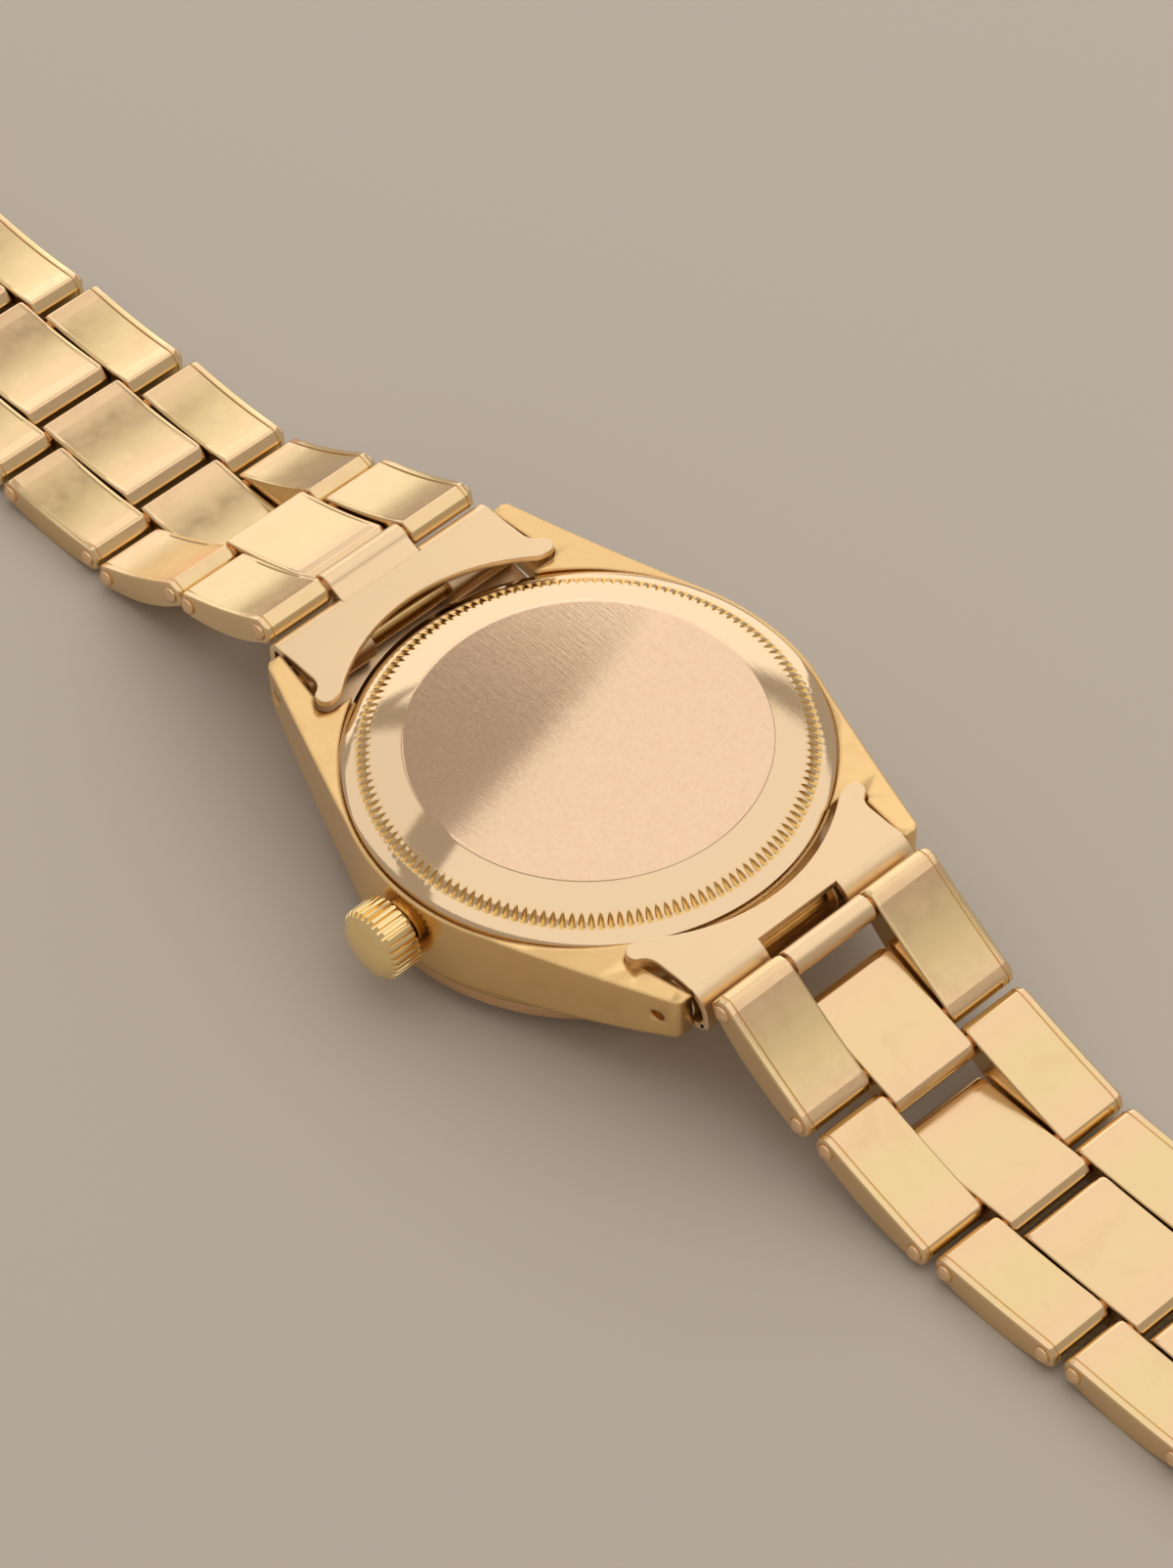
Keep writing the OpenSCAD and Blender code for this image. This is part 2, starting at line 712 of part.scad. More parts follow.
// Slope that brings the second row down to the rows that lie flat
function landing_slope(side) = asin((first_pin_z - flat_pin_z - pin_span * sin(first_outer_slope[side])
    - link_step * sin(first_centre_slope[side])) / pin_span);
function outer_slope(side, row) = row == 1 ? first_outer_slope[side] : row == 2 ? landing_slope(side) : 0;
function centre_slope(side, row) = row == 1 ? first_centre_slope[side] : 0;
function down_along(slope) = [cos(slope), -sin(slope)];

// Places of the rivets, as [y, z] on the 12 o'clock side
function upper_pin(side, row) = row == 1 ? [first_pin_y, first_pin_z]
    : lower_pin(side, row - 1) + link_step * down_along(centre_slope(side, row - 1));
function lower_pin(side, row) = upper_pin(side, row) + pin_span * down_along(outer_slope(side, row));

module at_pin(side, pin, slope) {
    on_side(side) translate([0, pin.x, pin.y]) rotate([-slope, 0, 0]) children();
}

// Side view of a link: rolled ends at y0 and y1, and between them a bowed front and a straight back
module link_outline_2d(y0, y1) {
    bow_r = bow_radius(y1 - y0, front_bow);
    for (y = [y0, y1]) translate([y, 0]) circle(roll_r, $fn = 64);
    translate([y0, -roll_r]) square([y1 - y0, 2 * roll_r]);
    intersection() {
        translate([(y0 + y1) / 2, bow_r - roll_r - front_bow]) circle(bow_r, $fn = 720);
        translate([y0, -roll_r - front_bow]) square([y1 - y0, roll_r]);
    }
}

// The same with a dished back: deeper on the folded sheet than on the side plate
module dished_link_2d(y0, y1, dish) {
    dish_r = bow_radius(y1 - y0, dish);
    difference() {
        link_outline_2d(y0, y1);
        translate([(y0 + y1) / 2, roll_r - dish + dish_r]) circle(dish_r, $fn = 720);
    }
}

// The hollow inside a folded link, between its two rolls
module link_hollow_2d(y0, y1) {
    roll_wall = roll_r + 0.1;
    translate([y0 + roll_wall, -roll_r + link_sheet])
        square([y1 - y0 - 2 * roll_wall, 2 * (roll_r - link_sheet) - back_dish]);
}

// One outer link for the +X side: side plate, folded sheet and inner rim, round its two rivets
module outer_link(row) {
    x0 = centre_half + column_gap;
    x1 = strap_half(row);
    difference() {
        union() {
            across(x1 - side_plate, x1) dished_link_2d(0, pin_span, plate_dish);
            across(x0 + inner_rim, x1 - side_plate) difference() {
                dished_link_2d(0, pin_span, back_dish);
                link_hollow_2d(0, pin_span);
            }
            across(x0, x0 + inner_rim) difference() {
                dished_link_2d(0, pin_span, plate_dish);
                link_hollow_2d(0, pin_span);
            }
        }
        for (y = [0, pin_span]) x_bar(rivet_r + press_fit, 0, through, [y, 0]);
    }
}

module outer_links(side, row) {
    color(gold) at_pin(side, upper_pin(side, row), outer_slope(side, row)) both_sides() outer_link(row);
}

// Centre link: its flap lies behind its first rivet, its rolled end round the next row's rivet
module centre_link(side, row) {
    x1 = centre_half;
    flap = flap_len(side, row);
    color(pale_gold) at_pin(side, lower_pin(side, row), centre_slope(side, row)) difference() {
        union() {
            across(-x1 + inner_rim, x1 - inner_rim) dished_link_2d(-flap, link_step, back_dish);
            both_sides() across(x1 - inner_rim, x1) dished_link_2d(-flap, link_step, plate_dish);
        }
        across(-through, through) link_hollow_2d(-flap, 0);
        for (y = [0, link_step]) x_bar(rivet_r + running_fit, -through, through, [y, 0]);
    }
}

// A rivet along X with a domed head at each end
module rivet(half_len) {
    head_bow_r = bow_radius(2 * rivet_head_r, rivet_head_h);
    rotate([0, 90, 0]) rotate_extrude($fn = 48) {
        translate([0, -half_len]) square([rivet_r, 2 * half_len]);
        for (m = [0, 1]) mirror([0, m]) translate([0, half_len]) intersection() {
            translate([0, rivet_head_h - head_bow_r]) circle(head_bow_r, $fn = 96);
            square([rivet_head_r, rivet_head_h]);
        }
    }
}

module rivets(side, row) {
    color(pale_gold) at_pin(side, upper_pin(side, row), outer_slope(side, row))
        for (y = [0, pin_span]) translate([0, y, 0]) rivet(strap_half(row));
}

// End links and spring bars

end_fold_r = (end_nose_y - end_crease_y) / (1 - sin(end_crease_slope));
end_fold_at = [end_nose_y - end_fold_r, end_link_back_z - end_fold_r * cos(end_crease_slope)];
end_front_in = 0.3;
end_front_z = case_front_z + end_front_in;
slot_half = centre_half - seat_gap;
tube_wall = 0.5;
tube_web_w = 1.0;
tongue_web_len = 1.2;
tongue_web_h = 0.45;
roll_tuck = 0.04;
tab_in = 0.1;
tab_root_len = 0.3;

// Folded sheet seen from the side: back plate, round nose and a front plate that follows the lugs
module end_sheet_2d() {
    difference() {
        end_block_2d(0);
        end_block_2d(end_sheet);
    }
}

// The end link filled solid, with every face moved in by the same amount
module end_block_2d(inset) {
    intersection() {
        union() {
            square([end_fold_at.x, end_link_back_z]);
            square([end_nose_y - inset, end_fold_at.y]);
            translate(end_fold_at) circle(end_fold_r - inset, $fn = 96);
        }
        square([end_nose_y + 1, end_link_back_z - inset]);
        translate([0, end_front_z + inset + lug_front_bow_r]) circle(lug_front_bow_r, $fn = 360);
    }
}

// The tongue that folds out of the front plate and rolls up round the first rivet
module end_tongue_2d(side) {
    pin = [first_pin_y, first_pin_z];
    front_end_z = end_front_z + end_nose_y * end_nose_y / (2 * lug_front_bow_r);
    web_root = [end_nose_y - tongue_web_len, front_end_z + tab_in];
    inside_roll = roll_r - roll_tuck;
    translate(pin) circle(roll_r, $fn = 64);
    polygon([web_root, web_root - [0, tongue_web_h], [end_nose_y, front_end_z],
        pin + inside_roll * [sin(20), -cos(20)], pin - inside_roll * [cos(40), sin(40)]]);
    if (side == TWELVE) end_tab_2d(pin, inside_roll);
}

// The tab in the notch of the 12 o'clock end link, from the back plate to the roll
module end_tab_2d(pin, inside_roll) {
    root_y = lug_half_length + notch_out[TWELVE];
    top_z = end_link_back_z - tab_in;
    polygon([[root_y - tab_root_len, end_link_back_z - end_sheet], [root_y - tab_root_len, top_z],
        [root_y, top_z], pin + inside_roll * [-cos(50), sin(50)], pin - [inside_roll / 2, 0]]);
}

// The web that joins the spring bar's tube to the front plate
module tube_web_2d() {
    intersection() {
        translate([spring_bar_y - tube_web_w / 2, 0]) square([tube_web_w, spring_bar_z]);
        end_block_2d(0);
    }
}

module end_link(side) {
    tube_r = spring_bar_r + running_fit + tube_wall;
    bar = [spring_bar_y, spring_bar_z];
    color(gold) on_side(side) difference() {
        union() {
            intersection() {
                union() {
                    across(-through, through) end_sheet_2d();
                    both_sides() x_bar(tube_r, slot_half, through, bar);
                    both_sides() across(slot_half, through) tube_web_2d();
                }
                difference() {
                    linear_extrude(through) lug_gap_2d(-loose_fit);
                    cylinder(r = end_edge_r, h = through);
                }
            }
            across(-slot_half, slot_half) end_tongue_2d(side);
        }
        // The notch in the middle, open towards the strap
        across(-slot_half, slot_half) difference() {
            translate([lug_half_length + notch_out[side], spring_bar_z]) square([first_pin_out, through]);
            end_tongue_2d(side);
        }
        x_bar(spring_bar_r + running_fit, -through, through, bar);
        x_bar(rivet_r + running_fit, -through, through, [first_pin_y, first_pin_z]);
    }
}

end_play = 0.02;
spring_tip_len = 1.2;
module spring_bars() {
    bar_half = lug_gap_half + end_play;
    tip_end = bar_half + spring_tip_len;
    color(steel) for (side = [TWELVE, SIX]) on_side(side) union() {
        x_bar(spring_bar_r, -bar_half, bar_half, [spring_bar_y, spring_bar_z]);
        x_bar(spring_tip_r, -tip_end, tip_end, [spring_bar_y, spring_bar_z]);
    }
}

// Clasp, closed, at the free end of the 12 o'clock strap

rows = 5;
clasp_y = upper_pin(TWELVE, rows + 1).x;
middle_blade_z = cover_t + 0.35;
inner_blade_z = middle_blade_z + blade_t + 0.75;
near_hinge_out = 6;
far_hinge = [clasp_y + near_hinge_out + blade_span, (middle_blade_z + inner_blade_z + blade_t) / 2];
far_knuckle_r = (inner_blade_z + blade_t - middle_blade_z) / 2;
near_hinge = [clasp_y + near_hinge_out, cover_t + 0.8];
near_knuckle_r = 0.72;
knuckle_room = 0.3;
end_pin_half = blade_half + 0.4;
clasp_pin_r = 0.4;
far_knuckle_half = 3.4;
blade_knuckle_x = centre_half + column_gap;

module clasp_end_pin() {
    color(pale_gold) translate([0, clasp_y, flat_pin_z]) rivet(end_pin_half);
}

module clasp_inner_blade() {
    start = [clasp_y, flat_pin_z];
    arm_end_y = clasp_y + 3.6;
    blade_y = clasp_y + 3;
    blade_top_z = inner_blade_z + blade_t;
    color(gold) difference() {
        union() {
            both_sides() x_bar(roll_r, blade_knuckle_x, end_pin_half, start);
            both_sides() across(blade_knuckle_x, blade_half) polygon([start + [0, 0.5], start + [0.3, roll_r],
                [arm_end_y - 0.2, blade_top_z], [arm_end_y, blade_top_z], [arm_end_y, inner_blade_z],
                start + [roll_r - 0.1, 0]]);
            across(-blade_half, blade_half) translate([blade_y, inner_blade_z])
                square([far_hinge.x - blade_y - far_knuckle_r - knuckle_room, blade_t]);
            both_sides() across(far_knuckle_half + column_gap, blade_half) {
                translate([far_hinge.x - far_knuckle_r - 1, inner_blade_z])
                    square([far_knuckle_r + 1, blade_t]);
                translate(far_hinge) circle(far_knuckle_r);
            }
        }
        x_bar(rivet_r + press_fit, -through, through, start);
        x_bar(clasp_pin_r + press_fit, -through, through, far_hinge);
    }
}

module clasp_middle_blade() {
    color(gold) difference() {
        union() {
            across(-blade_half, blade_half) translate([near_hinge.x, middle_blade_z])
                square([far_hinge.x - near_hinge.x - far_knuckle_r - knuckle_room, blade_t]);
            across(-blade_half, blade_half) translate(near_hinge) circle(near_knuckle_r);
            across(-far_knuckle_half, far_knuckle_half) {
                translate([far_hinge.x - far_knuckle_r - 1, middle_blade_z])
                    square([far_knuckle_r + 1, blade_t]);
                translate(far_hinge) circle(far_knuckle_r);
            }
        }
        x_bar(clasp_pin_r + running_fit, -through, through, near_hinge);
        x_bar(clasp_pin_r + running_fit, -through, through, far_hinge);
    }
}

module clasp_hinge_pins() {
    color(steel) x_bar(clasp_pin_r, -blade_half, blade_half, far_hinge);
}

// Channel-shaped cover with rounded edges, ears for its hinge and three pairs of adjusting holes
module clasp_cover() {
    start_y = near_hinge.x + 1.5;
    end_y = near_hinge.x + cover_len;
    edge_r = 1.2;
    hinge_ear_r = 1.3;
    first_hole_in = 1.3;
    hole_pitch = 1.5;
    color(pale_gold) difference() {
        union() {
            translate([0, start_y, 0]) rotate([90, 0, 0]) mirror([0, 0, 1]) linear_extrude(end_y - start_y)
                channel_2d(edge_r);
            both_sides() across(cover_half - cover_t, cover_half) {
                translate(near_hinge) circle(hinge_ear_r);
                translate([near_hinge.x, near_hinge.y - hinge_ear_r]) square([2, 2 * hinge_ear_r]);
            }
            both_sides()
                x_bar(clasp_pin_r, blade_half + column_gap, cover_half - cover_t + overlap, near_hinge);
        }
        for (i = [0 : 2]) x_bar(rivet_r, -through, through,
            [end_y - first_hole_in - hole_pitch * i, cover_wall_h - 1.1]);
    }
    color(pale_gold) x_bar(clasp_pin_r, -cover_half, cover_half, near_hinge);
}

module channel_2d(edge_r) {
    difference() {
        rounded_block_2d(cover_half, edge_r, 0);
        rounded_block_2d(cover_half - cover_t, edge_r - cover_t, cover_t);
    }
}

module rounded_block_2d(half, r, z0) {
    translate([-half, z0 + r]) square([2 * half, cover_wall_h - r + (z0 > 0 ? 1 : 0)]);
    translate([-half + r, z0]) square([2 * (half - r), cover_wall_h]);
    for (m = [0, 1]) mirror([m, 0]) translate([half - r, z0 + r]) circle(r, $fn = 48);
}

mid_case();
bezel();
crystal();
crystal_gasket();
case_back();
case_back_gasket();
crown_tube();
crown();
winding_stem();
setting_lever();
dial();
hour_markers();
hour_hand();
minute_hand();
seconds_hand();
mainplate();
train_bridge();
balance_cock();
balance_wheel();
rotor();
movement_ring();
end_link(TWELVE);  // end_link_12
end_link(SIX);  // end_link_6
spring_bars();
for (row = [1 : rows]) {
    outer_links(TWELVE, row);
    rivets(TWELVE, row);
    centre_link(TWELVE, row);
    outer_links(SIX, row);
    rivets(SIX, row);
    centre_link(SIX, row);
}
clasp_end_pin();
clasp_inner_blade();
clasp_middle_blade();
clasp_hinge_pins();
clasp_cover();
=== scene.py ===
"""Round wristwatch in rose-yellow gold, lying face down with its riveted bracelet opened flat.

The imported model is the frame: every piece here sits where the model has it. The links, their rivets, the end
links, the case back and the crown are folded, turned and milled here. The rest of the case, the movement and
the clasp keep the model's shape and get their finish.
"""

import json
import logging
import math
from dataclasses import dataclass, field
from enum import Enum

import bmesh
import bpy
from mathutils import Matrix, Vector

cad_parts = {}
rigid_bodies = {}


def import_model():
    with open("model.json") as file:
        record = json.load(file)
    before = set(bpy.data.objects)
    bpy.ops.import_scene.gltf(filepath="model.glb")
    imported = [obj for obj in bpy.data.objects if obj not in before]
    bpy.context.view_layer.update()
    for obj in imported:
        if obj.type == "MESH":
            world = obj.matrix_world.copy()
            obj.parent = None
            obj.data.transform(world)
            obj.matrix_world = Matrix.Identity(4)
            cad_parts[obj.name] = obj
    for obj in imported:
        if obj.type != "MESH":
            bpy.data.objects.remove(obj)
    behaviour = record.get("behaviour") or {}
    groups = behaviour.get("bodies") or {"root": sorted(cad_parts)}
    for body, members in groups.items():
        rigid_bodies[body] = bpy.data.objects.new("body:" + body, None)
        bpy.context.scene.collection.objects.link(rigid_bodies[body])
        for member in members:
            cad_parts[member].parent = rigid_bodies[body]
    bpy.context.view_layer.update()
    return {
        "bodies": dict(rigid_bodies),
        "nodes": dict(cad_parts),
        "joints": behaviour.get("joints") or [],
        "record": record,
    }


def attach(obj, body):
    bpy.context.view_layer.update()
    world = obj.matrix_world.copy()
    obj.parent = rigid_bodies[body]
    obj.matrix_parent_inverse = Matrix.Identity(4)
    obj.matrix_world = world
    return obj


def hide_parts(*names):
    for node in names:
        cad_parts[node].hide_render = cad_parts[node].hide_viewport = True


MM = 0.001
ROWS = 5
END_TINT = "end_tint"
CUT = "cut"
BUMP_MM = 0.01
WELD_MM = 0.002
SAME_MM = 1e-6
BROKEN_DEGREES = 32.0
NORMAL_WEIGHT = 80
log = logging.getLogger("watch")

Point = tuple[float, float]
Outline = list[Point]
Corner = tuple[float, float, float]


class Side(Enum):
    """The two halves of the bracelet, named for the hour they leave the case at."""

    TWELVE = 12
    SIX = 6


class Grain(Enum):
    """How a metal surface was worked last."""

    POLISHED = "polished"
    SATIN = "satin"
    BRUSHED_LENGTHWISE = "brushed lengthwise"


# Colour and node helpers


def linear(hex_colour: str) -> tuple[float, float, float, float]:
    """Turns an sRGB hex colour to linear light.

    Args:
        hex_colour: Six hex digits with a leading hash.

    Returns:
        Red, green, blue and an alpha of 1, as a shader socket takes them.
    """
    parts = [int(hex_colour[i:i + 2], 16) / 255 for i in (1, 3, 5)]
    r, g, b = (c / 12.92 if c <= 0.04045 else ((c + 0.055) / 1.055) ** 2.4 for c in parts)
    return r, g, b, 1.0


def add_node(tree: bpy.types.NodeTree, kind: str, settings: dict[str, object] | None = None,
             links: dict[str, bpy.types.NodeSocket] | None = None,
             values: dict[str, object] | None = None) -> bpy.types.Node:
    """Adds one shader node.

    Args:
        tree: The node tree that gets the node.
        kind: Blender's type name of the node.
        settings: Properties of the node itself.
        links: Output sockets to join to this node's inputs, by the input's name.
        values: Constants for this node's inputs, by the input's name.

    Returns:
        The new node.
    """
    node = tree.nodes.new(kind)
    for key, value in (settings or {}).items():
        setattr(node, key, value)
    for key, value in (values or {}).items():
        socket = node.inputs[int(key)] if key.isdigit() else node.inputs[key]
        socket.default_value = value
    for key, source in (links or {}).items():
        socket = node.inputs[int(key)] if key.isdigit() else node.inputs[key]
        tree.links.new(source, socket)
    return node


def blank_material(name: str) -> tuple[bpy.types.Material, bpy.types.NodeTree]:
    """Makes an empty node material.

    Args:
        name: Name of the material.

    Returns:
        The material and its cleared node tree.
    """
    material = bpy.data.materials.new(name)
    material.use_nodes = True
    material.node_tree.nodes.clear()
    return material, material.node_tree


# Finishes


@dataclass(frozen=True)
class GoldFinish:
    """18 carat rose-yellow gold, with the last work of its surface, handling wear and tarnish.

    Attributes:
        name: Name of the material.
        base: Colour of the clean metal.
        tarnish: Colour of the thin film that skin and air leave on it.
        tarnish_share: How much of the surface the film reaches, from 0 to 1.
        patch_mm: Size of the tarnished patches.
        film: How thick the film is where it is thickest, from 0 to 1.
        roughness: Roughness of the clean metal.
        wear: How far wear moves the roughness.
        grain: How the surface was worked last.
        grain_mm: Spacing of the lines or grit that this work leaves.
        grain_depth: Strength of the grain in the bump, from 0 to 1.
        edge_mm: Radius that polishing leaves on the edges.
        ends: Colour of the sheet near its rolled ends, or none where it is even.
    """

    name: str
    base: str
    tarnish: str
    tarnish_share: float
    patch_mm: float
    film: float
    roughness: float
    wear: float
    grain: Grain
    grain_mm: float
    grain_depth: float
    edge_mm: float
    ends: str | None = None

    def make(self) -> bpy.types.Material:
        """Builds the material.

        Returns:
            The finished node material.
        """
        material, tree = blank_material(self.name)
        place = add_node(tree, "ShaderNodeTexCoord").outputs["Object"]
        patches = add_node(tree, "ShaderNodeTexNoise", links={"Vector": place},
                           values={"Scale": 1 / (self.patch_mm * MM), "Detail": 4.0, "Roughness": 0.55,
                                   "Distortion": 0.6})
        # The noise is high in few places: the lower the start, the more of the surface the film reaches
        low = 0.72 - 0.45 * self.tarnish_share
        film = add_node(tree, "ShaderNodeMapRange", links={"Value": patches.outputs["Fac"]},
                        values={"From Min": low, "From Max": low + 0.3, "To Min": 0.0, "To Max": self.film})
        clean = {"6": linear(self.base)}
        tinted = {}
        if self.ends is not None:
            near_end = add_node(tree, "ShaderNodeAttribute", {"attribute_name": END_TINT}).outputs["Fac"]
            blush = add_node(tree, "ShaderNodeMix", {"data_type": "RGBA"}, links={"0": near_end},
                             values={"6": linear(self.base), "7": linear(self.ends)})
            clean, tinted = {}, {"6": blush.outputs[2]}
        colour = add_node(tree, "ShaderNodeMix", {"data_type": "RGBA"},
                          links={"0": film.outputs["Result"], **tinted},
                          values={**clean, "7": linear(self.tarnish)})
        worn = add_node(tree, "ShaderNodeTexNoise", links={"Vector": place},
                        values={"Scale": 1 / (self.patch_mm * 0.35 * MM), "Detail": 5.0, "Roughness": 0.6})
        rough = add_node(tree, "ShaderNodeMapRange", links={"Value": worn.outputs["Fac"]},
                         values={"From Min": 0.3, "From Max": 0.7,
                                 "To Min": max(self.roughness - self.wear, 0.03),
                                 "To Max": self.roughness + self.wear})
        edge = add_node(tree, "ShaderNodeBevel", {"samples": 4}, values={"Radius": self.edge_mm * MM})
        bump = add_node(tree, "ShaderNodeBump",
                        links={"Height": self.grain_lines(tree, place), "Normal": edge.outputs["Normal"]},
                        values={"Strength": self.grain_depth, "Distance": BUMP_MM * MM})
        shader = add_node(tree, "ShaderNodeBsdfPrincipled",
                          links={"Base Color": colour.outputs[2], "Roughness": rough.outputs["Result"],
                                 "Normal": bump.outputs["Normal"]},
                          values={"Metallic": 1.0})
        add_node(tree, "ShaderNodeOutputMaterial", links={"Surface": shader.outputs["BSDF"]})
        return material

    def grain_lines(self, tree: bpy.types.NodeTree, place: bpy.types.NodeSocket) -> bpy.types.NodeSocket:
        """Adds the height pattern that the last work left.

        Args:
            tree: The material's node tree.
            place: Socket with the point in metres.

        Returns:
            Socket with the height from 0 to 1.
        """
        along = {Grain.POLISHED: (0.5, 0.5, 0.5), Grain.SATIN: (1.0, 1.0, 1.0),
                 Grain.BRUSHED_LENGTHWISE: (1.0, 0.06, 1.0)}[self.grain]
        stretched = add_node(tree, "ShaderNodeMapping", links={"Vector": place},
                             values={"Scale": tuple(s / (self.grain_mm * MM) for s in along)})
        noise = add_node(tree, "ShaderNodeTexNoise", links={"Vector": stretched.outputs["Vector"]},
                         values={"Scale": 1.0, "Detail": 3.0, "Roughness": 0.7})
        return noise.outputs["Fac"]


@dataclass(frozen=True)
class PlainMetal:
    """A plain metal of the works: steel or nickel-plated brass.

    Attributes:
        name: Name of the material.
        light: Colour of the freshly worked metal.
        dull: Colour where it is oiled or rubbed.
        roughness: Roughness of the surface.
        grain_mm: Size of the fine grain.
    """

    name: str
    light: str
    dull: str
    roughness: float
    grain_mm: float

    def make(self) -> bpy.types.Material:
        """Builds the material.

        Returns:
            The finished node material.
        """
        material, tree = blank_material(self.name)
        place = add_node(tree, "ShaderNodeTexCoord").outputs["Object"]
        fine = add_node(tree, "ShaderNodeTexNoise", links={"Vector": place},
                        values={"Scale": 1 / (self.grain_mm * MM), "Detail": 3.0})
        broad = add_node(tree, "ShaderNodeTexNoise", links={"Vector": place},
                         values={"Scale": 1 / (12 * self.grain_mm * MM), "Detail": 4.0})
        colour = add_node(tree, "ShaderNodeMix", {"data_type": "RGBA"}, links={"0": broad.outputs["Fac"]},
                          values={"6": linear(self.light), "7": linear(self.dull)})
        rough = add_node(tree, "ShaderNodeMapRange", links={"Value": broad.outputs["Fac"]},
                         values={"From Min": 0.3, "From Max": 0.7, "To Min": self.roughness * 0.75,
                                 "To Max": self.roughness * 1.25})
        bump = add_node(tree, "ShaderNodeBump", links={"Height": fine.outputs["Fac"]},
                        values={"Strength": 0.15, "Distance": BUMP_MM * MM})
        shader = add_node(tree, "ShaderNodeBsdfPrincipled",
                          links={"Base Color": colour.outputs[2], "Roughness": rough.outputs["Result"],
                                 "Normal": bump.outputs["Normal"]},
                          values={"Metallic": 1.0})
        add_node(tree, "ShaderNodeOutputMaterial", links={"Surface": shader.outputs["BSDF"]})
        return material


@dataclass(frozen=True)
class SoftFinish:
    """A non-metal: enamelled dial, nylon or rubber gasket, acrylic crystal.

    Attributes:
        name: Name of the material.
        light: Main colour.
        dull: Colour of the mottling.
        roughness: Roughness of the surface.
        ior: Index of refraction.
        clear: Share of light that passes through, from 0 to 1.
        grain_mm: Size of the surface grain.
    """

    name: str
    light: str
    dull: str
    roughness: float
    ior: float
    clear: float = 0.0
    grain_mm: float = 0.2

    def make(self) -> bpy.types.Material:
        """Builds the material.

        Returns:
            The finished node material.
        """
        material, tree = blank_material(self.name)
        place = add_node(tree, "ShaderNodeTexCoord").outputs["Object"]
        fine = add_node(tree, "ShaderNodeTexNoise", links={"Vector": place},
                        values={"Scale": 1 / (self.grain_mm * MM), "Detail": 3.0})
        broad = add_node(tree, "ShaderNodeTexNoise", links={"Vector": place},
                         values={"Scale": 1 / (15 * self.grain_mm * MM), "Detail": 3.0})
        colour = add_node(tree, "ShaderNodeMix", {"data_type": "RGBA"}, links={"0": broad.outputs["Fac"]},
                          values={"6": linear(self.light), "7": linear(self.dull)})
        rough = add_node(tree, "ShaderNodeMapRange", links={"Value": fine.outputs["Fac"]},
                         values={"From Min": 0.3, "From Max": 0.7, "To Min": self.roughness * 0.8,
                                 "To Max": self.roughness * 1.2})
        bump = add_node(tree, "ShaderNodeBump", links={"Height": fine.outputs["Fac"]},
                        values={"Strength": 0.1, "Distance": BUMP_MM * MM})
        shader = add_node(tree, "ShaderNodeBsdfPrincipled",
                          links={"Base Color": colour.outputs[2], "Roughness": rough.outputs["Result"],
                                 "Normal": bump.outputs["Normal"]},
                          values={"IOR": self.ior, "Transmission Weight": self.clear})
        add_node(tree, "ShaderNodeOutputMaterial", links={"Surface": shader.outputs["BSDF"]})
        return material


